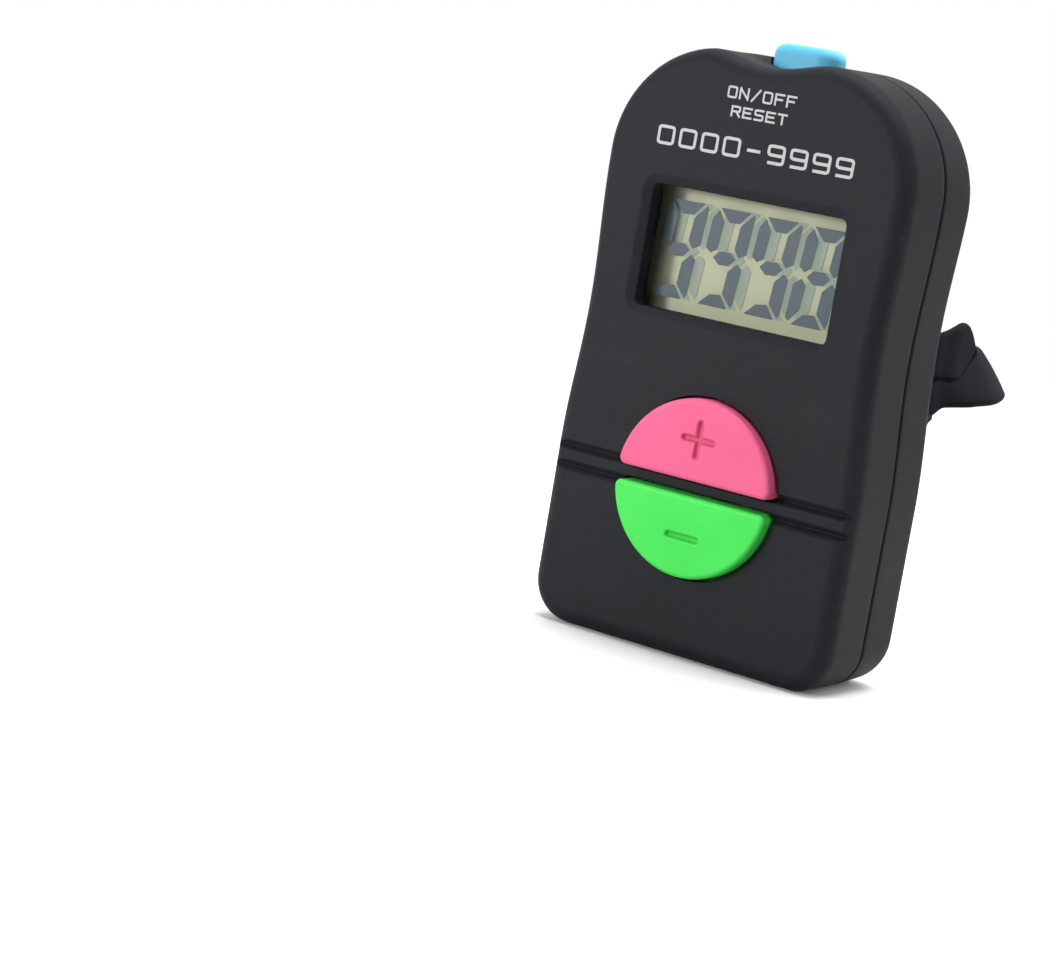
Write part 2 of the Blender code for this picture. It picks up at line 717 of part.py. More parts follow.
def plunger_top_y():
    """Return the y of a face switch's plunger at rest."""
    cover = SWITCH_FACE_Y - SWITCH_BASE_HEIGHT - THIN_GAP - SWITCH_COVER_THICK
    return cover - PLUNGER_STANDS


def rest_gap(travel):
    """Return the gap between a button's post and its plunger at rest, for the button's travel."""
    return travel - PLUNGER_TRAVEL + PLUNGER_PRESSED_GAP


def button_foot_y():
    """Return the y of a face button's post end."""
    return plunger_top_y() - rest_gap(BUTTON_TRAVEL)


def push_switch(name, place, depth, plunger_r):
    """Build a push switch whose base stands on the plane z = 0 of place.

    place maps the switch's own frame to the case, where the plunger points along its +Z.
    """
    foot_r = plunger_r + (PLUNGER_FOOT_R - PLUNGER_R)
    well_r = foot_r + GAP / 2
    height = SWITCH_BASE_HEIGHT
    base = box(name + "_base", (-SWITCH_WIDTH / 2, -depth / 2, 0), (SWITCH_WIDTH / 2, depth / 2, height))
    well = cylinder("well", "Z", (0, 0), well_r, SWITCH_WELL_FLOOR, height + EXTRA, 24)
    cut(base, well)
    cover_low = height + THIN_GAP
    cover = slab(
        name + "_cover",
        [rectangle(0, 0, SWITCH_WIDTH, depth), circle(0, 0, plunger_r + GAP / 2, 24)],
        "Z",
        cover_low,
        cover_low + SWITCH_COVER_THICK,
    )
    foot_low = SWITCH_WELL_FLOOR + PLUNGER_TRAVEL + GAP / 2
    stem_top = cover_low + SWITCH_COVER_THICK + PLUNGER_STANDS
    plunger = cylinder(name + "_plunger", "Z", (0, 0), plunger_r, foot_low, stem_top, 24)
    fuse(plunger, cylinder("foot", "Z", (0, 0), foot_r, foot_low, foot_low + PLUNGER_FOOT_HEIGHT, 24))
    for part in (base, cover, plunger):
        part.matrix_world = place
        for modifier in part.modifiers:
            modifier.object.matrix_world = place
    adopt(base, name + "_base", ((0.05, 0.05, 0.05), 0.5))
    adopt(cover, name + "_cover", STEEL)
    adopt(plunger, name + "_plunger", ((0.06, 0.06, 0.06), 0.5))


def switches():
    """Build the three push switches."""
    to_front = Matrix.Rotation(math.radians(90), 4, "X")
    for name, sign in (("plus", 1), ("minus", -1)):
        spot = Vector((0, SWITCH_FACE_Y, BUTTON_CENTRE_Z + sign * SIGN_OFFSET))
        push_switch(name + "_switch", Matrix.Translation(spot) @ to_front, SWITCH_WIDTH, PLUNGER_R)
    spot = Vector((0, (BOARD_FRONT_Y + BOARD_BACK_Y) / 2, power_switch_z()))
    push_switch("power_switch", Matrix.Translation(spot), SIDE_SWITCH_DEPTH, SIDE_PLUNGER_R)


def power_switch_z():
    """Return the z on which the power switch stands."""
    return BOARD_TOP_Z + GAP


def power_plunger_top():
    """Return the z of the power switch's plunger at rest."""
    return power_switch_z() + SWITCH_BASE_HEIGHT + THIN_GAP + SWITCH_COVER_THICK + PLUNGER_STANDS


def power_button():
    """Build the crowned button on the top end, with its flange and post."""
    flange_top = TOP_INNER_Z - GAP
    flange_low = flange_top - POWER_FLANGE
    top = CASE_HEIGHT + POWER_PROUD - POWER_CROWN
    rings = []
    levels = [(flange_low, 0.0), (top - POWER_EDGE_R, 0.0)]
    for i in range(1, 5):
        angle = math.radians(90 * i / 4)
        levels.append((top - POWER_EDGE_R * (1 - math.sin(angle)), POWER_EDGE_R * (1 - math.cos(angle))))
    for z, inset in levels:
        ring = []
        for x, y in power_plan(-inset):
            crown = POWER_CROWN * (1 - (2 * x / POWER_LENGTH) ** 2)
            ring.append((x, y, z + (crown if inset > 0 else 0)))
        rings.append(ring)
    button = loft("power_button", rings)
    flange = slab("flange", [power_plan(GAP + FLANGE_WIDTH)], "Z", flange_low, flange_top)
    fuse(button, flange)
    post_low = power_plunger_top() + rest_gap(POWER_TRAVEL)
    post_y = (BOARD_FRONT_Y + BOARD_BACK_Y) / 2
    post = cylinder("post", "Z", (0, post_y), SIDE_PLUNGER_R, post_low, flange_top - POWER_FLANGE / 2, 20)
    fuse(button, post)
    set_origin(button, (0, PARTING_Y, CASE_HEIGHT))
    return adopt(button, "power_button", ((0.16, 0.56, 0.80), 0.4))


def display():
    """Build the display's glasses, its reflector, its frame and its contact strip."""
    width = WINDOW_WIDTH + 2 * GLASS_MARGIN
    low = WINDOW_CENTRE_Z - WINDOW_HEIGHT / 2 - GLASS_MARGIN
    high = WINDOW_CENTRE_Z + WINDOW_HEIGHT / 2 + GLASS_MARGIN
    ledge = low - LEDGE_HEIGHT
    y1 = GLASS_FRONT_Y + GLASS_THICK
    y2 = y1 + THIN_GAP
    y3 = y2 + GLASS_THICK
    y4 = y3 + THIN_GAP
    y5 = y4 + REFLECTOR_THICK
    glass = ((0.55, 0.58, 0.45), 0.1, 0.0, 0.35)
    adopt(box("g", (-width / 2, GLASS_FRONT_Y, low), (width / 2, y1, high)), "lcd_front_glass", glass)
    adopt(box("g", (-width / 2, y2, ledge), (width / 2, y3, high)), "lcd_rear_glass", glass)
    reflector = box("r", (-width / 2, y4, low), (width / 2, y5, high))
    adopt(reflector, "lcd_reflector", ((0.50, 0.52, 0.32), 0.5))
    back = BOARD_FRONT_Y - GAP
    out_x = width / 2 + GAP + FRAME_WALL
    out_low = ledge - GAP - FRAME_WALL
    out_high = high + GAP + FRAME_WALL
    frame = box("lcd_frame", (-out_x, GLASS_FRONT_Y, out_low), (out_x, back, out_high))
    pocket_x = width / 2 + GAP
    cut(frame, box("pocket", (-pocket_x, GLASS_FRONT_Y - EXTRA, ledge - GAP), (pocket_x, y5 + GAP, high + GAP)))
    hole_x = width / 2 - FRAME_SHELF
    cut(frame, box("opening", (-hole_x, y5 - EXTRA, low + FRAME_SHELF), (hole_x, back + EXTRA, high - FRAME_SHELF)))
    strip_x = width / 2 - STRIP_END_MARGIN
    strip_mid = (ledge + low) / 2
    strip_half = min(STRIP_THICK, LEDGE_HEIGHT - GAP) / 2
    slot_low = (-strip_x - GAP, y4, strip_mid - strip_half - GAP / 2)
    slot_high = (strip_x + GAP, back + EXTRA, strip_mid + strip_half + GAP / 2)
    cut(frame, box("slot", slot_low, slot_high))
    adopt(frame, "lcd_frame", ((0.75, 0.75, 0.72), 0.6))
    strip_low = (-strip_x, y3 + GAP, strip_mid - strip_half)
    strip = box("contact_strip", strip_low, (strip_x, back, strip_mid + strip_half))
    adopt(strip, "contact_strip", ((0.70, 0.40, 0.45), 0.6))


def board():
    """Build the circuit board and the pieces soldered to its back."""
    margin = SIDE_WALL + BOARD_MARGIN
    half = WAIST_WIDTH / 2 - margin
    neck = BOARD_NECK_WIDTH / 2
    outline = [
        (-half, BOARD_BOTTOM_Z),
        (half, BOARD_BOTTOM_Z),
        (half, BOARD_SHOULDER_Z),
        (neck, BOARD_SHOULDER_Z),
        (neck, BOARD_TOP_Z),
        (-neck, BOARD_TOP_Z),
        (-neck, BOARD_SHOULDER_Z),
        (-half, BOARD_SHOULDER_Z),
    ]
    holes = [circle(side * BOARD_SCREW_X, BOARD_SCREW_Z, BOARD_SCREW_R + GAP / 2, 16) for side in (-1, 1)]
    pcb = slab("pcb", [outline] + holes, "Y", BOARD_FRONT_Y, BOARD_BACK_Y)
    adopt(pcb, "pcb", ((0.02, 0.16, 0.07), 0.45))
    seat = BOARD_BACK_Y + THIN_GAP
    rings = []
    for i in range(5):
        angle = math.radians(82 * i / 4)
        radius = CHIP_COVER_R * math.cos(angle)
        y = seat + CHIP_COVER_HEIGHT * math.sin(angle)
        rings.append(at_y(circle(0, CHIP_COVER_Z, radius, 24), y))
    adopt(loft("chip_cover", rings), "chip_cover", ((0.012, 0.012, 0.012), 0.35))
    crystal_y = seat + CRYSTAL_R
    low = CRYSTAL_Z - CRYSTAL_LENGTH / 2
    crystal = cylinder("crystal", "Z", (CRYSTAL_X, crystal_y), CRYSTAL_R, low, low + CRYSTAL_LENGTH, 16)
    adopt(crystal, "crystal", NICKEL)
    length, width, height = CHIP_SIZES
    for name, x, z in CHIP_PLACES:
        corner = (x - length / 2, seat, z - width / 2)
        piece = box(name, corner, (x + length / 2, seat + height, z + width / 2))
        tone = (0.35, 0.24, 0.14) if name.startswith("capacitor") else (0.03, 0.03, 0.03)
        adopt(piece, name, (tone, 0.5))


def turned(name, profile, start_y, place):
    """Return a solid turned about the Y direction through place, from (radius, y) points."""
    low, high = profile[0][1], profile[-1][1]
    points = [(0.0, high)] + list(reversed(profile)) + [(0.0, low)]
    mesh = bpy.data.meshes.new(name)
    mesh.from_pydata([(r, 0.0, y) for r, y in points], [(i, i + 1) for i in range(len(points) - 1)], [])
    obj = mesh_object(name, mesh)
    obj.matrix_world = Matrix.Translation((place[0], start_y, place[1])) @ Matrix.Rotation(
        math.radians(-90), 4, "X"
    )
    lathe = obj.modifiers.new("lathe", "SCREW")
    lathe.steps = ROUND_STEPS
    lathe.render_steps = ROUND_STEPS
    lathe.use_merge_vertices = True
    lathe.merge_threshold = 1e-6
    return obj


def cell():
    """Build the button cell and its two contacts."""
    cx, cz = socket_centre()
    can_back = door_places()[0] - GAP
    can_front = can_back - CELL_THICK
    edge = 0.4 * MM
    profile = (
        (CELL_CAP_R, 0.0),
        (CELL_CAP_R, CELL_CAP_HEIGHT),
        (CELL_R - edge, CELL_CAP_HEIGHT),
        (CELL_R, CELL_CAP_HEIGHT + edge),
        (CELL_R, CELL_THICK - edge),
        (CELL_R - edge, CELL_THICK),
    )
    adopt(turned("battery_cell", profile, can_front, (cx, cz)), "battery_cell", NICKEL)
    spring_span = can_front - BOARD_BACK_Y - GAP - THIN_GAP
    spring = []
    low = BOARD_BACK_Y + THIN_GAP
    reach = CELL_CAP_R * 0.8
    for i in range(9):
        t = i / 8
        lift = math.sin(math.pi * t) * max(spring_span - CONTACT_THICK, 0.05 * MM)
        spring.append((low + lift, cz - reach + 2 * reach * t))
    profile = spring + [(y + CONTACT_THICK, z) for y, z in reversed(spring)]
    leaf = slab("battery_spring", [profile], "X", cx - CONTACT_WIDTH / 2, cx + CONTACT_WIDTH / 2)
    adopt(leaf, "battery_spring", NICKEL)
    x0 = cx + CELL_R + GAP
    x1 = x0 + CONTACT_THICK
    foot = CONTACT_WIDTH * 0.5
    tip = can_back - GAP
    start = BOARD_BACK_Y + THIN_GAP
    outline = [
        (x0, start),
        (x1 + foot, start),
        (x1 + foot, start + CONTACT_THICK),
        (x1, start + CONTACT_THICK),
        (x1, min(tip, door_places()[2] - GAP)),
        (x0, min(tip, door_places()[2] - GAP)),
    ]
    clip = slab("battery_clip", [outline], "Z", cz - CONTACT_WIDTH / 2, cz + CONTACT_WIDTH / 2)
    adopt(clip, "battery_clip", NICKEL)


def door():
    """Build the round door with its skirt, two lugs and a coin slot."""
    cx, cz = socket_centre()
    plate, _, lug_front, lug_back = door_places()
    skirt_r = DOOR_R - DOOR_LUG_LENGTH
    cap = cylinder("battery_door", "Y", (cx, cz), DOOR_R, plate, BACK_Y)
    ring = [circle(cx, cz, skirt_r), circle(cx, cz, skirt_r - DOOR_SKIRT_WALL)]
    fuse(cap, slab("skirt", ring, "Y", lug_front, plate + DOOR_THICK / 2))
    for turn in (0, 180):
        outer = arc(cx, cz, DOOR_R - GAP / 2, turn - DOOR_LUG_ANGLE / 2, turn + DOOR_LUG_ANGLE / 2, 6)
        middle = skirt_r - DOOR_SKIRT_WALL / 2
        inner = arc(cx, cz, middle, turn + DOOR_LUG_ANGLE / 2, turn - DOOR_LUG_ANGLE / 2, 6)
        fuse(cap, slab("lug", [outer + inner], "Y", lug_front, lug_back))
    slot = round_rectangle(cx, cz, COIN_SLOT_LENGTH, COIN_SLOT_WIDTH, COIN_SLOT_WIDTH / 2)
    cut(cap, slab("coin_slot", [slot], "Y", BACK_Y - COIN_SLOT_DEPTH, BACK_Y + EXTRA))
    set_origin(cap, (cx, BACK_Y, cz))
    return adopt(cap, "battery_door", BLACK_ABS)


def screw(name, place, head_back, head_r, head_height, shank_r, tip_y):
    """Build a screw that points to the face, with a crossed slot in its head."""
    x, z = place
    body = cylinder(name, "Y", (x, z), head_r, head_back - head_height, head_back, 20)
    point = turned(
        "shank",
        ((shank_r * 0.35, 0.0), (shank_r, shank_r), (shank_r, head_back - head_height / 2 - tip_y)),
        tip_y,
        place,
    )
    fuse(body, point)
    arm = head_r * 0.65
    low = head_back - CROSS_SLOT_DEPTH
    half = CROSS_SLOT_WIDTH / 2
    cut(body, box("slot", (x - arm, low, z - half), (x + arm, head_back + EXTRA, z + half)))
    cut(body, box("slot", (x - half, low, z - arm), (x + half, head_back + EXTRA, z + arm)))
    return adopt(body, name, STEEL)


def screws():
    """Build the four case screws and the two board screws."""
    rear = PARTING_Y - PARTING_GAP / 2
    for level, x, z in CASE_SCREWS:
        for side, label in ((-1, "left"), (1, "right")):
            screw(
                f"case_screw_{level}_{label}",
                (side * x, z),
                BACK_Y - CASE_HEAD_SUNK,
                CASE_HEAD_R,
                CASE_HEAD_HEIGHT,
                CASE_SCREW_R,
                rear - CASE_THREAD_IN_BOSS,
            )
    for side, label in ((-1, "left"), (1, "right")):
        screw(
            f"board_screw_{label}",
            (side * BOARD_SCREW_X, BOARD_SCREW_Z),
            BOARD_BACK_Y + GAP + BOARD_HEAD_HEIGHT,
            BOARD_HEAD_R,
            BOARD_HEAD_HEIGHT,
            BOARD_SCREW_R,
            BOARD_FRONT_Y - BOARD_THREAD_LENGTH,
        )


def smooth_path(points, per_span):
    """Return points along a smooth curve through the given ones."""
    path = []
    count = len(points)
    for i in range(count - 1):
        p0 = points[max(i - 1, 0)]
        p1, p2 = points[i], points[i + 1]
        p3 = points[min(i + 2, count - 1)]
        for step in range(per_span):
            t = step / per_span
            a = p1 * 2
            b = p2 - p0
            c = p0 * 2 - p1 * 5 + p2 * 4 - p3
            d = p1 * 3 - p0 - p2 * 3 + p3
            path.append((a + b * t + c * t * t + d * t * t * t) / 2)
    path.append(points[-1].copy())
    return path


def strap_route():
    """Return the strap's centre line as (x, y, z, tilt) vectors, from the right tail to the left end."""
    turn_r = PIN_R + GAP + STRAP_THICK / 2
    tail_z = STRAP_Z + STRAP_TAIL_RISE
    loop_z = STRAP_Z + STRAP_LOOP_RISE
    back = BACK_Y
    right = [
        Vector((TAIL_END_X, back + TAIL_END_Y, tail_z, 0)),
        Vector((TAIL_END_X - 0.1 * MM, back + TAIL_END_Y - 2.3 * MM, tail_z, 0)),
        Vector((TAIL_END_X - 0.2 * MM, back + TAIL_END_Y - 4.4 * MM, tail_z - 0.2 * MM, 0)),
        Vector((PIN_X + turn_r + 0.1 * MM, PIN_Y + 0.4 * MM, STRAP_Z + 1.8 * MM, 0)),
        Vector((PIN_X + turn_r * 0.766, PIN_Y - turn_r * 0.643, STRAP_Z + 1.1 * MM, 0)),
        Vector((PIN_X + turn_r * 0.174, PIN_Y - turn_r * 0.985, STRAP_Z + 0.7 * MM, 0)),
        Vector((PIN_X - turn_r * 0.5, PIN_Y - turn_r * 0.866, STRAP_Z + 0.4 * MM, 0)),
        Vector((PIN_X - turn_r * 0.97, PIN_Y - turn_r * 0.2, STRAP_Z + 0.2 * MM, 0)),
        Vector((PIN_X - turn_r * 0.95, PIN_Y + 2.6 * MM, STRAP_Z, STRAP_TILT * 0.1)),
        Vector((PIN_X - 1.0 * MM, back + LOOP_BULGE_Y - 5.8 * MM, STRAP_Z, STRAP_TILT * 0.5)),
        Vector((LOOP_BULGE_X - 0.9 * MM, back + LOOP_BULGE_Y - 2.4 * MM, STRAP_Z + 0.2 * MM, STRAP_TILT)),
        Vector((LOOP_BULGE_X - 0.2 * MM, back + LOOP_BULGE_Y, loop_z, STRAP_TILT)),
        Vector((LOOP_BULGE_X - 1.3 * MM, back + LOOP_BULGE_Y + 3.6 * MM, loop_z, STRAP_TILT)),
        Vector((LOOP_BULGE_X * 0.75, back + LOOP_REACH - 2.6 * MM, loop_z, STRAP_TILT)),
        Vector((LOOP_BULGE_X * 0.45, back + LOOP_REACH - 0.6 * MM, loop_z, STRAP_TILT)),
    ]
    crown = [Vector((0, back + LOOP_REACH, loop_z, STRAP_TILT))]
    left = [Vector((-p.x, p.y, p.z, p.w)) for p in reversed(right[3:])]
    stub = Vector((-PIN_X - turn_r - 0.1 * MM, PIN_Y + 2.4 * MM, STRAP_Z + 2.4 * MM, 0))
    return right + crown + left + [stub]


def strap_section(centre, out, up, half_width, half_thick, bow):
    """Return the strap's section, a thin band with soft edges that bows outwards."""
    points = []
    for across, lift in (
        (-1, -0.4), (-0.92, -1), (0, -1), (0.92, -1), (1, -0.4),
        (1, 0.4), (0.92, 1), (0, 1), (-0.92, 1), (-1, 0.4),
    ):
        raised = bow * (1 - across * across)
        points.append(centre + up * (across * half_width) + out * (lift * half_thick + raised))
    return points


def finger_strap():
    """Build the soft strap: a pointed tail, a turn under each pin and the loop between them."""
    path = smooth_path(strap_route(), 3)
    places = [p.xyz for p in path]
    lengths = [0.0]
    for a, b in zip(places, places[1:]):
        lengths.append(lengths[-1] + (b - a).length)
    half = STRAP_WIDTH / 2
    rings = []
    for i, (point, place) in enumerate(zip(path, places)):
        ahead = places[min(i + 1, len(places) - 1)] - places[max(i - 1, 0)]
        along = Vector((ahead.x, ahead.y, 0)).normalized()
        out = Vector((along.y, -along.x, 0))
        tilt = math.radians(point.w)
        up = Vector((0, 0, 1)) * math.cos(tilt) - out * math.sin(tilt)
        face = out * math.cos(tilt) + Vector((0, 0, 1)) * math.sin(tilt)
        share = min((lengths[i] + 0.08 * STRAP_POINT_LENGTH) / STRAP_POINT_LENGTH, 1.0)
        width = half * math.sin(math.pi / 2 * share)
        bow = STRAP_BOW * min(point.w / STRAP_TILT, 1.0)
        rings.append(strap_section(place, face, up, width, STRAP_THICK / 2, bow))
    return adopt(loft("finger_strap", rings), "finger_strap", BLACK_RUBBER)


def strap_pins():
    """Build the two steel pins of the strap."""
    for pin, label in zip(pin_holes(0.0), ("left", "right")):
        adopt(pin, "strap_pin_" + label, STEEL)


def main():
    """Build every piece of the counter."""
    front_shell()
    rear_shell()
    face_button("plus_button", True, (0.93, 0.16, 0.30))
    face_button("minus_button", False, (0.09, 0.76, 0.12))
    power_button()
    display()
    board()
    switches()
    cell()
    door()
    screws()
    finger_strap()
    strap_pins()


main()
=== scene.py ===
"""The looks of a hand tally counter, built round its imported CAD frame.

+X is to the right of someone who reads the display, +Z is up along the case, and the face looks
along -Y. Lengths are in metres. Each class builds one sub-assembly and dresses it.
"""

import json
import logging
import math
from collections.abc import Iterable, Sequence
from dataclasses import dataclass, field
from enum import Enum
from typing import Any

import bmesh
import bpy
from mathutils import Matrix, Vector

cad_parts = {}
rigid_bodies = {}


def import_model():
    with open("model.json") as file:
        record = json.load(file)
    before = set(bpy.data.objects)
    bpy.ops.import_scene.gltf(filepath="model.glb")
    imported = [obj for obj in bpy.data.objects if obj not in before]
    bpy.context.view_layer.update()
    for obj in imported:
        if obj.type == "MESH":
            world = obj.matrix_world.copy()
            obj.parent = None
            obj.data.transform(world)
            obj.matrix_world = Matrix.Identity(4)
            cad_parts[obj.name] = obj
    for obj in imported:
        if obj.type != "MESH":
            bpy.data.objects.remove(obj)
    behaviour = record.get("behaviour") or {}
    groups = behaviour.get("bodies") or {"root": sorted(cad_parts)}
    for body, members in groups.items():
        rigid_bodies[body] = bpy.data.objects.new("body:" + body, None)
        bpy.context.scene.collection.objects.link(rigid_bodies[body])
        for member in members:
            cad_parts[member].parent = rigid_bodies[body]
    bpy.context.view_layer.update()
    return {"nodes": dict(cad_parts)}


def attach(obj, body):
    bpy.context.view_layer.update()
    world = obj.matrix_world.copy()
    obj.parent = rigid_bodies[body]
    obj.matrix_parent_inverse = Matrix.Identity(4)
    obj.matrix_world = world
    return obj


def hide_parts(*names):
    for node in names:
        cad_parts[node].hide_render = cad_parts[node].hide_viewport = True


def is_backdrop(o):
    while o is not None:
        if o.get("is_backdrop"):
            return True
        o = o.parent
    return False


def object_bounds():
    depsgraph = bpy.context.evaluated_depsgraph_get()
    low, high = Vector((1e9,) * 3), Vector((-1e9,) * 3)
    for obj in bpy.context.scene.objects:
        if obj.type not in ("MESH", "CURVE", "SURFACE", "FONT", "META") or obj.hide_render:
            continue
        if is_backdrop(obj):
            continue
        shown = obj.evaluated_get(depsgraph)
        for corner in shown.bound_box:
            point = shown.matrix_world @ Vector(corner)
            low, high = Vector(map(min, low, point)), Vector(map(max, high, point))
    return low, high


Point = tuple[float, float]
Color = tuple[float, float, float]

LOG = logging.getLogger("tally_counter")
MM = 0.001
# Less than any detail: welds doubles and keeps a radius under half a width
TINY = 1e-6
# How far a tool reaches past the surface that it cuts
PAST = 1.0 * MM
# How far a boss or a post reaches into the wall that carries it
INTO = 0.5 * MM
# A round end's radius as a share of its width, which leaves a little flat
ROUND_END = 0.48
SMOOTH_ANGLE = math.radians(38)
NORMAL_WEIGHT = 80


# ---------------------------------------------------------------- shader maths


class Wire:
    """A node's socket, whose arithmetic adds Math nodes to the same tree."""

    def __init__(self, paint: "Paint", socket: bpy.types.NodeSocket) -> None:
        """Keep the socket and the tree that it belongs to."""
        self.paint = paint
        self.socket = socket

    def math(self, operation: str, first: "Wire | float", second: "Wire | float" = 0.0) -> "Wire":
        """Return the result of a new Math node on two values or links."""
        return self.paint.node("ShaderNodeMath", {"operation": operation}, {0: first, 1: second})

    def __add__(self, other: "Wire | float") -> "Wire":
        """Return self + other."""
        return self.math("ADD", self, other)

    __radd__ = __add__

    def __sub__(self, other: "Wire | float") -> "Wire":
        """Return self - other."""
        return self.math("SUBTRACT", self, other)

    def __rsub__(self, other: float) -> "Wire":
        """Return other - self."""
        return self.math("SUBTRACT", other, self)

    def __mul__(self, other: "Wire | float") -> "Wire":
        """Return self * other."""
        return self.math("MULTIPLY", self, other)

    __rmul__ = __mul__

    def __pow__(self, other: "Wire | float") -> "Wire":
        """Return self to the power of other."""
        return self.math("POWER", self, other)

    def __abs__(self) -> "Wire":
        """Return the size of self."""
        return self.math("ABSOLUTE", self)

    def at_least(self, low: float) -> "Wire":
        """Return self, or low where self is lower."""
        return self.math("MAXIMUM", self, low)

    def step(self, low: float, high: float, start: float = 0.0, end: float = 1.0) -> "Wire":
        """Ease from one value to another while self rises.

        Args:
            low: Where the change starts.
            high: Where the change ends.
            start: The value up to low.
            end: The value from high on.

        Returns:
            The eased value.
        """
        settings = {"interpolation_type": "SMOOTHSTEP"}
        sockets = {"Value": self, "From Min": low, "From Max": high, "To Min": start, "To Max": end}
        return self.paint.node("ShaderNodeMapRange", settings, sockets)


class Paint:
    """The node tree of one material or world. Every node comes from node()."""

    def __init__(self, owner: bpy.types.Material | bpy.types.World) -> None:
        """Start an empty tree.

        Args:
            owner: The material or world that holds it.
        """
        self.owner = owner
        owner.use_nodes = True
        self.tree = owner.node_tree
        self.tree.nodes.clear()

    @classmethod
    def named(cls, name: str) -> "Paint":
        """Return the tree of a new material."""
        return cls(bpy.data.materials.new(name))

    def node(
        self,
        kind: str,
        settings: dict[str, Any] | None = None,
        sockets: dict[int | str, Any] | None = None,
        output: int | str = 0,
    ) -> Wire:
        """Add a node, set its options and fill or link its inputs.

        Args:
            kind: The node's type.
            settings: The node's options.
            sockets: Values or links by the input's number or name.
            output: The output to return.

        Returns:
            The chosen output, or the same input of a node that has no outputs.
        """
        made = self.tree.nodes.new(kind)
        for key, value in (settings or {}).items():
            setattr(made, key, value)
        for key, value in (sockets or {}).items():
            if isinstance(value, Wire):
                self.tree.links.new(value.socket, made.inputs[key])
            else:
                made.inputs[key].default_value = value
        return Wire(self, (made.outputs if len(made.outputs) else made.inputs)[output])

    def place(self) -> Wire:
        """Return the object coordinates, which are the frame's."""
        return self.node("ShaderNodeTexCoord", output="Object")

    def axes(self, vector: Wire) -> list[Wire]:
        """Return the three components of a vector."""
        parts = self.node("ShaderNodeSeparateXYZ", sockets={0: vector})
        return [Wire(self, output) for output in parts.socket.node.outputs]

    def stretched(self, x: float, y: float, z: float) -> Wire:
        """Return the object coordinates scaled along each axis."""
        sockets = {0: self.place(), 1: (x, y, z)}
        return self.node("ShaderNodeVectorMath", {"operation": "MULTIPLY"}, sockets)

    def seen(self) -> Wire:
        """Tell what the camera sees from soft light.

        Returns:
            1 for rays from the camera, also mirrored or through glass, and 0 for the rest.
        """
        kinds = ("Camera", "Glossy", "Transmission")
        camera, glossy, passed = (self.node("ShaderNodeLightPath", output=f"Is {kind} Ray") for kind in kinds)
        return 1.0 - (1.0 - camera) * (1.0 - glossy) * (1.0 - passed)

    def noise(self, scale: float, detail: float = 2.0, rough: float = 0.5, at: Wire | None = None) -> Wire:
        """Return a noise of 0 to 1 with scale features per metre and detail finer layers."""
        sockets = {"Vector": at or self.place(), "Scale": scale, "Detail": detail, "Roughness": rough}
        return self.node("ShaderNodeTexNoise", sockets=sockets)

    def cells(self, scale: float, feature: str = "F1", at: Wire | None = None) -> Wire:
        """Return the distances of a cell pattern with scale cells per metre."""
        sockets = {"Vector": at or self.place(), "Scale": scale}
        return self.node("ShaderNodeTexVoronoi", {"feature": feature}, sockets, "Distance")

    def mix(self, share: Wire | float, first: Wire | Color, second: Wire | Color) -> Wire:
        """Return two colours mixed, with a share of the second."""
        sockets = {0: share, 6: rgba(first), 7: rgba(second)}
        return self.node("ShaderNodeMix", {"data_type": "RGBA", "clamp_factor": True}, sockets, 2)

    def bump(self, height: Wire, depth: float) -> Wire:
        """Return the normal of a surface whose height of 0 to 1 stands for a real depth."""
        return self.node("ShaderNodeBump", sockets={"Strength": 1.0, "Distance": depth, "Height": height})

    def bend(self) -> Wire:
        """Tell the round edges from the flats.

        Returns:
            0 where the surface faces along or across Y, and 1 halfway between.
        """
        normal = self.node("ShaderNodeTexCoord", output="Normal")
        along = abs(self.axes(normal)[1])
        return along.step(0.12, 0.5) * along.step(0.5, 0.96, 1.0, 0.0)

    def surface(self, **sockets: Any) -> bpy.types.Material:
        """Finish the tree with a Principled shader, whose inputs are named with _ for each space."""
        values = {key.replace("_", " "): value for key, value in sockets.items()}
        return self.close(self.node("ShaderNodeBsdfPrincipled", sockets=values))

    def close(self, shader: Wire) -> bpy.types.Material:
        """Link a shader to the output and return the material."""
        self.node("ShaderNodeOutputMaterial", sockets={0: shader})
        return self.owner


def rgba(color: Wire | Color) -> Wire | tuple[float, ...]:
    """Return a colour with its alpha, and a link as it is."""
    return color if isinstance(color, Wire) else (*color, 1.0)


def dimmed(color: Color, share: float) -> Color:
    """Return a colour with only a share of its light."""
    return tuple(part * share for part in color)


# ---------------------------------------------------------------- finishes


@dataclass(frozen=True)
class Finish:
    """A named surface that makes its material once."""

    name: str

    def paint(self) -> bpy.types.Material:
        """Make the material."""
        raise NotImplementedError

    def marked(self, p: Paint, color: Wire) -> Wire:
        """Return the colour with the finish's own marks, of which a plain finish has none."""
        return color

    def material(self) -> bpy.types.Material:
        """Return the material, made at the first call."""
        return bpy.data.materials.get(self.name) or self.paint()


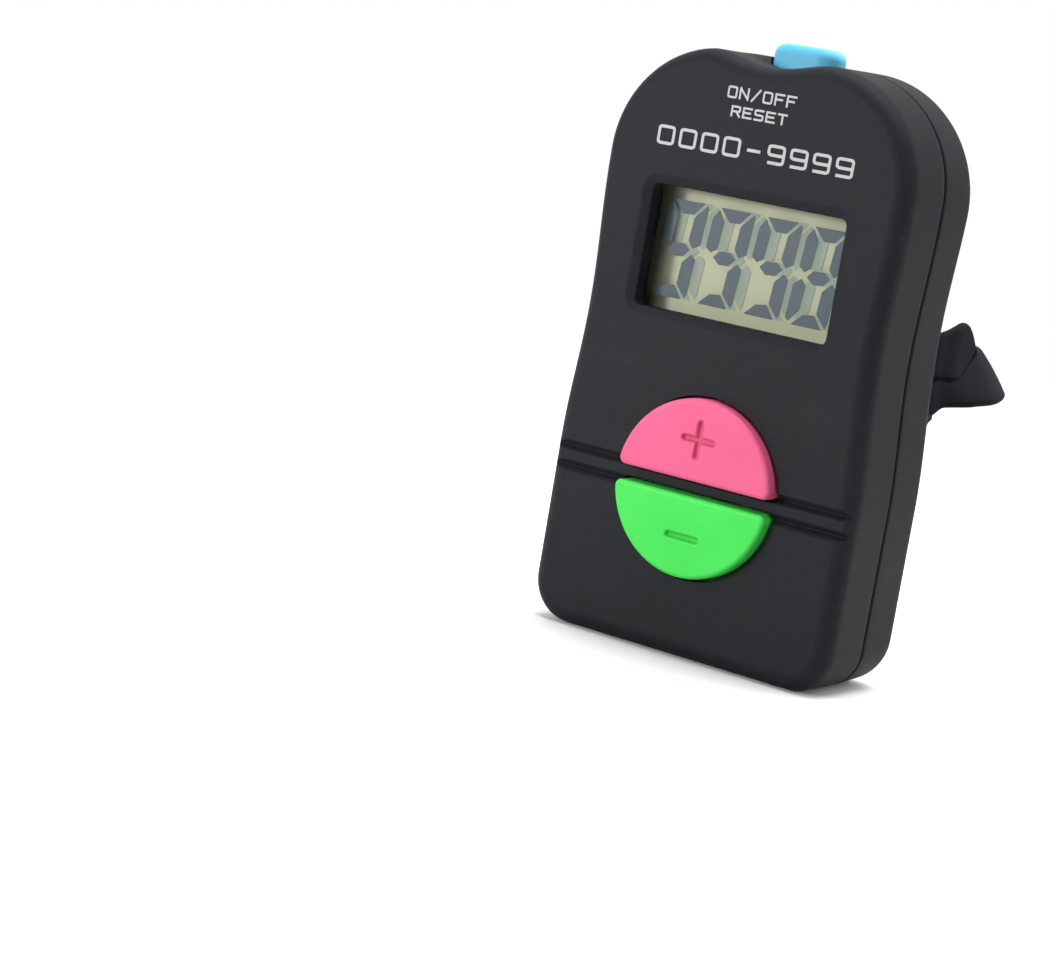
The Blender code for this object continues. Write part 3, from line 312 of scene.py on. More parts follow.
@dataclass(frozen=True)
class Moulded(Finish):
    """Moulded plastic with a fine spark-eroded grain, cloudy gloss and rubbed edges."""

    color: Color
    cloud: Color
    rubbed: Color
    roughness: float = 0.55
    uneven: float = 0.14
    grain: float = 5200.0
    depth: float = 0.012 * MM
    polish: float = 0.12
    wear: float = 0.5
    specular: float = 0.5

    def paint(self) -> bpy.types.Material:
        """Make the plastic.

        Returns:
            The material.
        """
        p = Paint.named(self.name)
        patches = p.noise(140.0, 4.0, 0.6)
        fine = p.noise(self.grain, 3.0, 0.65)
        pits = p.cells(self.grain * 0.62)
        worn = p.bend() * p.noise(1600.0, 4.0, 0.7).step(0.5, 0.72) * patches
        scuffs = p.noise(60.0, 5.0, 0.7, p.stretched(1.0, 1.0, 3.2)).step(0.56, 0.72)
        color = p.mix(patches.step(0.35, 0.75), self.color, self.cloud)
        color = p.mix(worn * self.wear, color, self.rubbed)
        rough = self.roughness + (patches - 0.5) * self.uneven + (fine - 0.5) * 0.10
        return p.surface(
            Base_Color=self.marked(p, color),
            Roughness=rough - worn * self.polish - scuffs * 0.05,
            Normal=p.bump(fine * 0.6 + pits * 0.4, self.depth),
            Specular_IOR_Level=self.specular,
        )


@dataclass(frozen=True)
class Engraved(Moulded):
    """Moulded plastic with painted shade down in its engraved sign."""

    roughness: float = 0.5
    depth: float = 0.006 * MM
    specular: float = 0.2
    sign_z: float = 0.0
    sign_reach: float = 2.8 * MM
    face_y: float = -9.05 * MM
    # How dark the painted shade down in the sign is
    painted_sign_shade: float = 0.34

    def marked(self, p: Paint, color: Wire) -> Wire:
        """Paint shade down in the engraving.

        Args:
            p: The material's tree.
            color: The plain colour.

        Returns:
            The colour, with painted shade down in the sign.
        """
        x, y, z = p.axes(p.place())
        away = (x**2.0 + (z - self.sign_z) ** 2.0) ** 0.5
        # Painted shade: darker below the button's top, within the sign's reach
        sunk = y.step(self.face_y + 0.03 * MM, self.face_y + 0.3 * MM)
        share = sunk * away.step(self.sign_reach, self.sign_reach * 1.1, self.painted_sign_shade, 0.0)
        return p.mix(share, color, dimmed(self.color, 0.2))


@dataclass(frozen=True)
class Rubber(Finish):
    """Matt rubber with a fine leathery skin and a little dust."""

    color: Color
    cloud: Color
    roughness: float = 0.82
    depth: float = 0.02 * MM
    specular: float = 0.15
    dust: Color = (0.07, 0.07, 0.08)

    def paint(self) -> bpy.types.Material:
        """Make the rubber.

        Returns:
            The material.
        """
        p = Paint.named(self.name)
        patches = p.noise(210.0, 5.0, 0.6)
        skin = p.cells(2600.0, "SMOOTH_F1")
        dusty = p.noise(5200.0, 2.0).step(0.66, 0.8)
        color = p.mix(patches.step(0.3, 0.75), self.color, self.cloud)
        color = p.mix(dusty * 0.10, color, self.dust)
        return p.surface(
            Base_Color=self.marked(p, color),
            Roughness=self.roughness + (patches - 0.5) * 0.12 - (1.0 - skin) * 0.05,
            Normal=p.bump(skin + patches * 0.5, self.depth),
            Specular_IOR_Level=self.specular,
        )


@dataclass(frozen=True)
class StrapRubber(Rubber):
    """The strap's rubber, with a painted shadow along the tail's lower border, where the tail lies on the
    loop.
    """

    specular: float = 0.04
    tail_x: float = 16.35 * MM
    tail_y: float = 16.4 * MM
    border_z: float = 33.55 * MM
    turn_y: float = 12.6 * MM
    rise: float = 0.32 / MM
    wide: float = 1.0 * MM

    def marked(self, p: Paint, color: Wire) -> Wire:
        """Paint the shadow under the tail's lower border.

        Args:
            p: The material's tree.
            color: The plain colour.

        Returns:
            The colour, with a painted shadow along the tail's lower border.
        """
        x, y, z = p.axes(p.place())
        past = (y - self.turn_y).at_least(0.0)
        above = z - past * past * self.rise - self.border_z
        # Painted shadow: dark up to a band just above the tail's curved lower border, only where the tail
        # lies
        painted_crease_shadow = above.step(self.wide * 0.45, self.wide, 1.0, 0.0)
        right = x.step(self.tail_x, self.tail_x + 0.1 * MM)
        near = y.step(self.tail_y, self.tail_y + 0.3 * MM, 1.0, 0.0)
        return p.mix(painted_crease_shadow * (right * near), color, dimmed(self.color, 0.1))


@dataclass(frozen=True)
class Metal(Finish):
    """Turned or rolled metal with fine brushing, scratches and dull patches."""

    color: Color
    dull: Color
    roughness: float = 0.3

    def paint(self) -> bpy.types.Material:
        """Make the metal.

        Returns:
            The material.
        """
        p = Paint.named(self.name)
        brush = p.noise(900.0, 3.0, 0.6, p.stretched(1.0, 9.0, 1.0))
        patches = p.noise(420.0, 4.0)
        scratch = p.cells(700.0, "DISTANCE_TO_EDGE", p.stretched(1.0, 1.0, 5.0)).step(0.0, 0.03, 1.0, 0.0)
        return p.surface(
            Base_Color=p.mix(patches.step(0.4, 0.8), self.color, self.dull),
            Metallic=1.0,
            Roughness=self.roughness + (brush - 0.5) * 0.18 + patches.step(0.55, 0.8) * 0.14,
            Normal=p.bump(brush - scratch * 0.5, 0.006 * MM),
        )


@dataclass(frozen=True)
class Pane(Finish):
    """A clear plate of the display with a faint haze and smudges."""

    tint: Color
    haze: float = 0.06
    roughness: float = 0.28

    def paint(self) -> bpy.types.Material:
        """Make the glass.

        Returns:
            The material.
        """
        p = Paint.named(self.name)
        smudge = p.noise(190.0, 4.0, 0.6).step(0.4, 0.75)
        return p.surface(
            Base_Color=p.mix(smudge, self.tint, dimmed(self.tint, 0.94)),
            Roughness=self.roughness + smudge * 0.10,
            Alpha=self.haze + smudge * 0.015,
            Normal=p.bump(p.noise(2600.0, 2.0), 0.003 * MM),
        )


@dataclass(frozen=True)
class Film(Finish):
    """The display's foils and inks: a soft sheen with a faint fleck, and a painted shadow of the window's
    left wall.
    """

    color: Color
    fleck: Color
    roughness: float = 0.8
    specular: float = 0.12
    # The painted shadow of the window's left wall: how dark it is, the x where it fades out and the x where
    # it is full, and how far its edge leans with z
    painted_shadow_share: float = 0.88
    painted_shadow_from: float = -13.3 * MM
    painted_shadow_to: float = -15.3 * MM
    lean: float = 0.07

    def paint(self) -> bpy.types.Material:
        """Make the foil or ink.

        Returns:
            The material.
        """
        p = Paint.named(self.name)
        fine = p.noise(4200.0, 2.0)
        patches = p.noise(260.0, 3.0)
        x, _, z = p.axes(p.place())
        # Painted shadow of the window's left wall, full toward -x, with its edge leaning with z
        shade = (x - z * self.lean).step(self.painted_shadow_to, self.painted_shadow_from, self.painted_shadow_share, 0.0)
        color = p.mix(fine.step(0.35, 0.7) * 0.5 + patches * 0.4, self.color, self.fleck)
        return p.surface(
            Base_Color=p.mix(shade, color, dimmed(self.color, 0.06)),
            Roughness=self.roughness + (fine - 0.5) * 0.12,
            Normal=p.bump(fine, 0.002 * MM),
            Specular_IOR_Level=self.specular,
        )


@dataclass(frozen=True)
class Ink(Finish):
    """Pad-printed ink, a little thin in places."""

    color: Color
    thin: Color

    def paint(self) -> bpy.types.Material:
        """Make the ink.

        Returns:
            The material.
        """
        p = Paint.named(self.name)
        cover = p.noise(3600.0, 4.0, 0.7)
        return p.surface(
            Base_Color=p.mix(cover.step(0.5, 0.78) * 0.6, self.color, self.thin),
            Roughness=0.5 + (cover - 0.5) * 0.2,
            Normal=p.bump(cover, 0.004 * MM),
        )


@dataclass(frozen=True)
class CircuitBoard(Finish):
    """Green lacquer over copper tracks, which show as fine raised lines."""

    lacquer: Color = (0.012, 0.12, 0.045)
    track: Color = (0.03, 0.22, 0.09)

    def paint(self) -> bpy.types.Material:
        """Make the board.

        Returns:
            The material.
        """
        p = Paint.named(self.name)
        sockets = {"Vector": p.stretched(1.0, 0.0, 1.0), "Scale": 420.0}
        grid = p.node("ShaderNodeTexVoronoi", {"distance": "CHEBYCHEV", "feature": "F1"}, sockets)
        lines = grid.step(0.30, 0.34) * grid.step(0.40, 0.44, 1.0, 0.0)
        glass = p.noise(3000.0, 2.0)
        return p.surface(
            Base_Color=p.mix(lines, self.lacquer, self.track),
            Roughness=0.35 + (glass - 0.5) * 0.2,
            Normal=p.bump(lines + glass * 0.2, 0.03 * MM),
            Specular_IOR_Level=0.5,
        )


@dataclass(frozen=True)
class Backdrop(Finish):
    """The pale floor, which fades out into the white background and throws little light back."""

    color: Color = (0.93, 0.93, 0.93)
    thrown: Color = (0.36, 0.36, 0.36)
    full: float = 0.16
    gone: float = 0.42

    def paint(self) -> bpy.types.Material:
        """Make the floor's paper.

        Returns:
            The material.
        """
        p = Paint.named(self.name)
        x, y, _ = p.axes(p.place())
        reach = (x**2.0 + y**2.0) ** 0.5
        paper = p.noise(900.0, 3.0)
        return p.surface(
            Base_Color=p.mix(p.seen(), self.thrown, p.mix(paper, self.color, dimmed(self.color, 0.985))),
            Roughness=0.9 - paper * 0.05,
            Alpha=reach.step(self.full, self.gone, 1.0, 0.0),
            Specular_IOR_Level=0.0,
        )


CASE = Moulded(
    "moulded_charcoal",
    (0.0096, 0.0100, 0.0128),
    (0.0128, 0.0134, 0.0166),
    (0.038, 0.038, 0.042),
    roughness=0.62,
    specular=0.15,
)
PINK = Engraved(
    "moulded_pink",
    (0.97, 0.150, 0.320),
    (0.95, 0.138, 0.298),
    (0.97, 0.27, 0.42),
    sign_z=23.85 * MM,
)
GREEN = Engraved(
    "moulded_green",
    (0.080, 0.86, 0.120),
    (0.070, 0.82, 0.104),
    (0.20, 0.88, 0.24),
    sign_z=13.25 * MM,
)
BLUE = Moulded(
    "moulded_blue",
    (0.145, 0.59, 0.88),
    (0.133, 0.56, 0.84),
    (0.28, 0.68, 0.92),
    roughness=0.5,
    depth=0.006 * MM,
    specular=0.2,
)
FRAME_PLASTIC = Moulded("moulded_frame", (0.02, 0.02, 0.021), (0.028, 0.028, 0.029), (0.06,) * 3, 0.6)
SWITCH_PLASTIC = Moulded("moulded_switch", (0.03, 0.03, 0.032), (0.04, 0.04, 0.042), (0.08,) * 3, 0.45)
STRAP_RUBBER = StrapRubber("strap_skin", (0.0180, 0.0174, 0.0212), (0.0214, 0.0208, 0.0250))
CONTACT_RUBBER = Rubber("contact_skin", (0.42, 0.16, 0.20), (0.36, 0.13, 0.17), 0.7)
STEEL = Metal("bright_steel", (0.50, 0.50, 0.51), (0.32, 0.32, 0.33))
NICKEL = Metal("nickel_plate", (0.58, 0.56, 0.50), (0.42, 0.40, 0.36), 0.25)
PANE = Pane("display_pane", (0.40, 0.42, 0.33), 0.025)
REFLECTOR = Film("display_reflector_foil", (0.66, 0.69, 0.475), (0.61, 0.64, 0.435))
SEGMENT = Film("segment_ink", (0.108, 0.145, 0.180), (0.148, 0.178, 0.195))
# A painted shadow of the figures: a pale grey-green sheet on the reflector, shifted to the right
PAINTED_SEGMENT_SHADOW = Film("segment_echo", (0.46, 0.55, 0.45), (0.42, 0.51, 0.42))
PRINT_INK = Ink("white_print", (0.51, 0.51, 0.52), (0.35, 0.35, 0.37))
BOARD = CircuitBoard("lacquered_board")
RESIN = Moulded("cast_resin", (0.012, 0.012, 0.013), (0.018, 0.018, 0.019), (0.03, 0.03, 0.03), 0.3)
CERAMIC_TAN = Moulded("fired_tan", (0.42, 0.28, 0.15), (0.36, 0.23, 0.12), (0.5, 0.36, 0.2), 0.5)
CERAMIC_BLACK = Moulded("fired_black", (0.02, 0.02, 0.02), (0.03, 0.03, 0.03), (0.2, 0.2, 0.2), 0.4)
FLOOR = Backdrop("pale_floor")


# ---------------------------------------------------------------- outlines, meshes and solids


class Axis(Enum):
    """The direction in which an outline is made thick, with the order of its coordinates."""

    X = (2, 0, 1)
    Y = (0, 2, 1)
    Z = (0, 1, 2)

    def at(self, outline: Iterable[Point], height: float) -> list[Vector]:
        """Return the outline's points as places at one height along the axis."""
        return [Vector([(u, v, height)[i] for i in self.value]) for u, v in outline]


class Joining(Enum):
    """What a tool does to a solid."""

    CUT = "DIFFERENCE"
    FUSE = "UNION"


class Sign(Enum):
    """A face button's sign, with the side of the bar on which its half disc lies."""

    PLUS = 1
    MINUS = -1


def arc(cx: float, cy: float, radius: float, start: float, end: float, steps: int) -> list[Point]:
    """Return points along an arc between two angles in degrees."""
    angles = [math.radians(start + (end - start) * i / steps) for i in range(steps + 1)]
    return [(cx + radius * math.cos(a), cy + radius * math.sin(a)) for a in angles]


def circle(cx: float, cy: float, radius: float, steps: int) -> list[Point]:
    """Return the points of a circle."""
    return arc(cx, cy, radius, 0, 360, steps)[:-1]


def soft_box(
    cx: float, cy: float, width: float, height: float, radius: float, steps: int = 8
) -> list[Point]:
    """Draw a rectangle with round corners.

    Args:
        cx: The middle's first coordinate.
        cy: The middle's second coordinate.
        width: The full width.
        height: The full height.
        radius: The corners' radius.
        steps: Steps round each corner.

    Returns:
        The points, counter-clockwise.
    """
    radius = min(radius, width / 2 - TINY, height / 2 - TINY)
    points: list[Point] = []
    for sx, sy, start in ((1, -1, -90), (1, 1, 0), (-1, 1, 90), (-1, -1, 180)):
        x, y = cx + sx * (width / 2 - radius), cy + sy * (height / 2 - radius)
        points += arc(x, y, radius, start, start + 90, steps)
    return points


def softened(corners: Sequence[Point], radii: Sequence[float], steps: int = 4) -> list[Point]:
    """Round the corners of an open or closed line.

    Args:
        corners: The line's corners.
        radii: How far from each corner the rounding starts, 0 for a sharp one.
        steps: Steps round each corner.

    Returns:
        The finer line.
    """
    points: list[Point] = []
    for i, radius in enumerate(radii):
        here = Vector(corners[i])
        if radius <= 0:
            points.append(tuple(here))
            continue
        before = (Vector(corners[i - 1]) - here).normalized() * radius
        after = (Vector(corners[(i + 1) % len(corners)]) - here).normalized() * radius
        shares = [k / steps for k in range(steps + 1)]
        points += [tuple(here + before * (1 - t) ** 2 + after * t**2) for t in shares]
    return points


def stretch(bm: bmesh.types.BMesh, rings: Sequence[Sequence[Sequence[float]]], loop: bool = False) -> None:
    """Stretch a closed skin over rings of equally many points.

    Args:
        bm: The mesh to add it to.
        rings: The rings in order.
        loop: Whether the last ring meets the first, so that neither has a cap.
    """
    layers = [[bm.verts.new(point) for point in ring] for ring in rings]
    count = len(layers[0])
    for lower, upper in zip(layers, layers[1:] + layers[:1] if loop else layers[1:]):
        for i in range(count):
            j = (i + 1) % count
            bm.faces.new((lower[i], lower[j], upper[j], upper[i]))
    if not loop:
        bm.faces.new(list(reversed(layers[0])))
        bm.faces.new(layers[-1])


def linked(name: str, data: bpy.types.ID) -> bpy.types.Object:
    """Make an object and link it to the scene.

    Args:
        name: The object's name.
        data: Its mesh, lamp or camera.

    Returns:
        The object.
    """
    obj = bpy.data.objects.new(name, data)
    bpy.context.scene.collection.objects.link(obj)
    return obj


def meshed(name: str, bm: bmesh.types.BMesh, closed: bool = True) -> bpy.types.Object:
    """Turn a mesh under work into an object.

    Args:
        name: The object's name.
        bm: The mesh, which is freed.
        closed: Whether its faces have an outside to look to.

    Returns:
        The object.
    """
    if closed:
        bmesh.ops.recalc_face_normals(bm, faces=bm.faces)
    mesh = bpy.data.meshes.new(name)
    bm.to_mesh(mesh)
    bm.free()
    return linked(name, mesh)


class Solid:
    """A closed mesh that other solids cut or join before it becomes a piece."""

    def __init__(self, name: str, rings: Sequence[Sequence[Vector]]) -> None:
        """Build the skin through rings of equally many points, with a cap at each end.

        Args:
            name: The piece's name.
            rings: The rings in order.
        """
        bm = bmesh.new()
        stretch(bm, rings)
        self.obj = meshed(name, bm)
        self.tools: list[bpy.types.Object] = []

    @classmethod
    def slab(cls, name: str, outline: Iterable[Point], axis: Axis, low: float, high: float) -> "Solid":
        """Return an outline made thick from low to high along an axis."""
        points = list(outline)
        return cls(name, [axis.at(points, low), axis.at(points, high)])

    @classmethod
    def rod(
        cls, name: str, centre: Point, radius: float, low: float, high: float, steps: int = 32
    ) -> "Solid":
        """Return a cylinder along Y from low to high, with its axis at (x, z)."""
        return cls.slab(name, circle(*centre, radius, steps), Axis.Y, low, high)

    def join(self, how: Joining, tools: Iterable["Solid"]) -> "Solid":
        """Cut or join tools, in order.

        Args:
            how: What each tool does.
            tools: The tools.

        Returns:
            The solid itself.
        """
        for tool in tools:
            modifier = self.obj.modifiers.new(how.name.lower(), "BOOLEAN")
            modifier.operation, modifier.solver, modifier.object = how.value, "EXACT", tool.obj
            tool.bake()
            self.tools.append(tool.obj)
        return self

    def cut(self, *tools: "Solid") -> "Solid":
        """Cut each tool out of the solid."""
        return self.join(Joining.CUT, tools)

    def fuse(self, *tools: "Solid") -> "Solid":
        """Join each tool to the solid."""
        return self.join(Joining.FUSE, tools)

    def bake(self) -> bpy.types.Object:
        """Apply the modifiers and remove the tools.

        Returns:
            The solid's object.
        """
        if self.obj.modifiers:
            bpy.context.view_layer.update()
            graph = bpy.context.evaluated_depsgraph_get()
            mesh = bpy.data.meshes.new_from_object(self.obj.evaluated_get(graph))
            self.obj.modifiers.clear()
            self.obj.data = mesh
            for tool in self.tools:
                bpy.data.objects.remove(tool, do_unlink=True)
            self.tools = []
        return self.obj

    def piece(self, finish: Finish, body: str, *nodes: str) -> bpy.types.Object:
        """Turn the solid into a shaded, dressed piece that moves with a body.

        Args:
            finish: The surface.
            body: The CAD body to ride on.
            nodes: The CAD nodes that it stands for.

        Returns:
            The piece.
        """
        obj = self.bake()
        obj.data.shade_smooth()
        obj.data.set_sharp_from_angle(angle=SMOOTH_ANGLE)
        weigh = obj.modifiers.new("weighted", "WEIGHTED_NORMAL")
        weigh.keep_sharp, weigh.weight = True, NORMAL_WEIGHT
        return present(obj, finish, body, *nodes)


def present(obj: bpy.types.Object, finish: Finish, body: str, *nodes: str) -> bpy.types.Object:
    """Dress an object and let it ride on a body.

    Args:
        obj: The piece.
        finish: The surface.
        body: The CAD body to ride on.
        nodes: The CAD nodes that it stands for.

    Returns:
        The piece.
    """
    obj.data.materials.clear()
    obj.data.materials.append(finish.material())
    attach(obj, body)
    if nodes:
        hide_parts(*nodes)
    LOG.info("%s rides on %s in %s", obj.name, body, finish.name)
    return obj


def keep(node: bpy.types.Object, finish: Finish) -> None:
    """Keep a CAD node, smooth its facets and give it a finish.

    Args:
        node: The CAD node's object.
        finish: The surface.
    """
    mesh = node.data
    if "custom_normal" in mesh.attributes:
        mesh.attributes.remove(mesh.attributes["custom_normal"])
    mesh.shade_smooth()
    node.modifiers.new("weld", "WELD").merge_threshold = TINY
    split = node.modifiers.new("split", "EDGE_SPLIT")
    split.split_angle, split.use_edge_sharp = SMOOTH_ANGLE, False
    node.modifiers.new("weighted", "WEIGHTED_NORMAL").weight = NORMAL_WEIGHT
    mesh.materials.clear()
    mesh.materials.append(finish.material())
    LOG.info("%s keeps its CAD shape in %s", node.name, finish.name)


# ---------------------------------------------------------------- the case


@dataclass(frozen=True)
class CasePlan:
    """The case's outline, its planes and the sizes that several pieces share."""

    height: float = 65.0 * MM
    foot_width: float = 38.2 * MM
    waist_width: float = 36.6 * MM
    head_width: float = 37.7 * MM
    depth: float = 15.5 * MM
    front_depth: float = 7.8 * MM
    waist_z: float = 36.3 * MM
    shoulder_z: float = 20.0 * MM
    head_r: float = 12.4 * MM
    foot_r: float = 4.8 * MM
    back_extra: float = 1.0 * MM
    edge_r: float = 1.9 * MM
    side_wall: float = 1.8 * MM
    face_wall: float = 2.1 * MM
    back_wall: float = 1.6 * MM
    parting_gap: float = 0.3 * MM
    parting_edge: float = 0.26 * MM
    gap: float = 0.3 * MM
    boss_r: float = 2.3 * MM
    screws: tuple[Point, ...] = ((13.4 * MM, 55.8 * MM), (13.9 * MM, 5.4 * MM))
    pin_x: float = 15.0 * MM
    button_z: float = 18.55 * MM
    button_r: float = 9.7 * MM
    button_flat: float = 0.82 * MM
    button_corner: float = 0.8 * MM
    power_length: float = 8.1 * MM
    power_depth: float = 4.4 * MM
    side_steps: int = 16
    corner_steps: int = 26
    top_steps: int = 28
    edge_steps: int = 9
    parting_steps: int = 3
    disc_steps: int = 60

    @property
    def face(self) -> float:
        """Return the face's y."""
        return -self.depth / 2

    @property
    def back(self) -> float:
        """Return the back's y."""
        return self.depth / 2

    @property
    def parting(self) -> float:
        """Return the y of the middle of the parting line."""
        return self.face + self.front_depth + self.parting_gap / 2

    @property
    def front_end(self) -> float:
        """Return the y where the front half ends."""
        return self.parting - self.parting_gap / 2

    @property
    def rear_start(self) -> float:
        """Return the y where the rear half starts."""
        return self.parting + self.parting_gap / 2

    @staticmethod
    def ease(a: float, b: float, t: float) -> float:
        """Return a smooth step from a to b as t goes from 0 to 1."""
        return a + (b - a) * (0.5 - 0.5 * math.cos(math.pi * t))

    def side(self) -> list[Point]:
        """Draw the right side of the outline.

        Returns:
            The points, from the foot corner up to the head corner.
        """
        head_z = self.height - self.head_r - self.back_extra
        spans = (
            (self.shoulder_z, self.waist_z, self.foot_width, self.waist_width),
            (self.waist_z, head_z, self.waist_width, self.head_width),
        )
        points: list[Point] = []
        for low, high, first, last in spans:
            shares = [i / self.side_steps for i in range(self.side_steps)]
            points += [(self.ease(first / 2, last / 2, t), low + (high - low) * t) for t in shares]
        return points

    def outline(self, inset: float = 0.0, rounder: float = 0.0) -> list[Point]:
        """Draw the outline round the case.

        Args:
            inset: How far it is moved in.
            rounder: How much rounder its corners are.

        Returns:
            The points, counter-clockwise.
        """
        head_r, foot_r = self.head_r + rounder, self.foot_r + rounder
        head_x, head_z = self.head_width / 2 - head_r, self.height - head_r
        right = arc(self.foot_width / 2 - foot_r, foot_r, foot_r - inset, -90, 0, self.corner_steps // 2)
        right += [(x - inset, z) for x, z in self.side()]
        right += arc(head_x, head_z, head_r - inset, 0, 90, self.corner_steps)
        top_x, top_z = right[-1]
        across = [(top_x * (1 - 2 * i / self.top_steps), top_z) for i in range(1, self.top_steps)]
        return right + across + [(-x, z) for x, z in reversed(right)]

    def edge(self, radius: float, steps: int) -> list[Point]:
        """Return (inset, drop) pairs round an edge, from its side to its flat."""
        angles = [math.radians(90 * i / steps) for i in range(steps + 1)]
        return [(radius * (1 - math.cos(a)), radius * (1 - math.sin(a))) for a in angles]

    def half_disc(self, sign: Sign, grow: float, flat: float, corner_r: float) -> list[Point]:
        """Draw a half disc with round corners, flat on the side of the bar.

        Args:
            sign: Whose half disc it is.
            grow: How much larger its radius is than the button's.
            flat: How far the flat is from the disc's centre.
            corner_r: The corners' radius.

        Returns:
            The points, counter-clockwise.
        """
        radius, corner_z = self.button_r + grow, flat + corner_r
        corner_x = math.sqrt((radius - corner_r) ** 2 - corner_z**2)
        meet = math.degrees(math.atan2(corner_z, corner_x))
        points = arc(corner_x, corner_z, corner_r, -90, meet, 8)
        points += arc(0, 0, radius, meet, 180 - meet, self.disc_steps)[1:-1]
        points += arc(-corner_x, corner_z, corner_r, 180 - meet, 270, 8)
        return [(x, self.button_z + sign.value * z) for x, z in points[:: sign.value]]

    def power_outline(self, margin: float) -> list[Point]:
        """Draw the top button's plan.

        Args:
            margin: How much larger it is on each side.

        Returns:
            The (x, y) points.
        """
        length, depth = self.power_length + 2 * margin, self.power_depth + 2 * margin
        radius = self.power_depth * ROUND_END + margin
        return soft_box(0, self.parting, length, depth, radius, steps=12)

    def power_hole(self) -> Solid:
        """Return the tool that cuts the top button's hole."""
        low = self.height - self.side_wall - PAST
        return Solid.slab("power_hole", self.power_outline(self.gap), Axis.Z, low, self.height + PAST)

    def bosses(self, low: float, high: float, radius: float) -> list[Solid]:
        """Return a cylinder at each case screw, from low to high along Y."""
        places = [(side * x, z) for x, z in self.screws for side in (-1, 1)]
        return [Solid.rod("boss", place, radius, low, high) for place in places]


@dataclass
class Shell:
    """One half of the case, made of outlines from the parting line to its outer side."""

    plan: CasePlan
    wall_steps: int = 12

    def ring(self, inset: float, y: float) -> list[Vector]:
        """Return the outline at one y, moved in by an inset."""
        raise NotImplementedError

    def skin(self, name: str, near: float, far: float) -> Solid:
        """Build the solid outer form with its rounded edges.

        Args:
            name: The piece's name.
            near: The y of its side at the parting line.
            far: The y of its outer side.

        Returns:
            The form.
        """
        plan, steps = self.plan, self.wall_steps
        way = 1 if far > near else -1
        start, end = near + way * plan.parting_edge, far - way * plan.edge_r
        parting = reversed(plan.edge(plan.parting_edge, plan.parting_steps))
        rings = [self.ring(inset, near + way * drop) for inset, drop in parting]
        rings += [self.ring(0.0, start + (end - start) * i / steps) for i in range(1, steps)]
        outer = plan.edge(plan.edge_r, plan.edge_steps)
        rings += [self.ring(inset, far - way * drop) for inset, drop in outer]
        return Solid(name, rings)


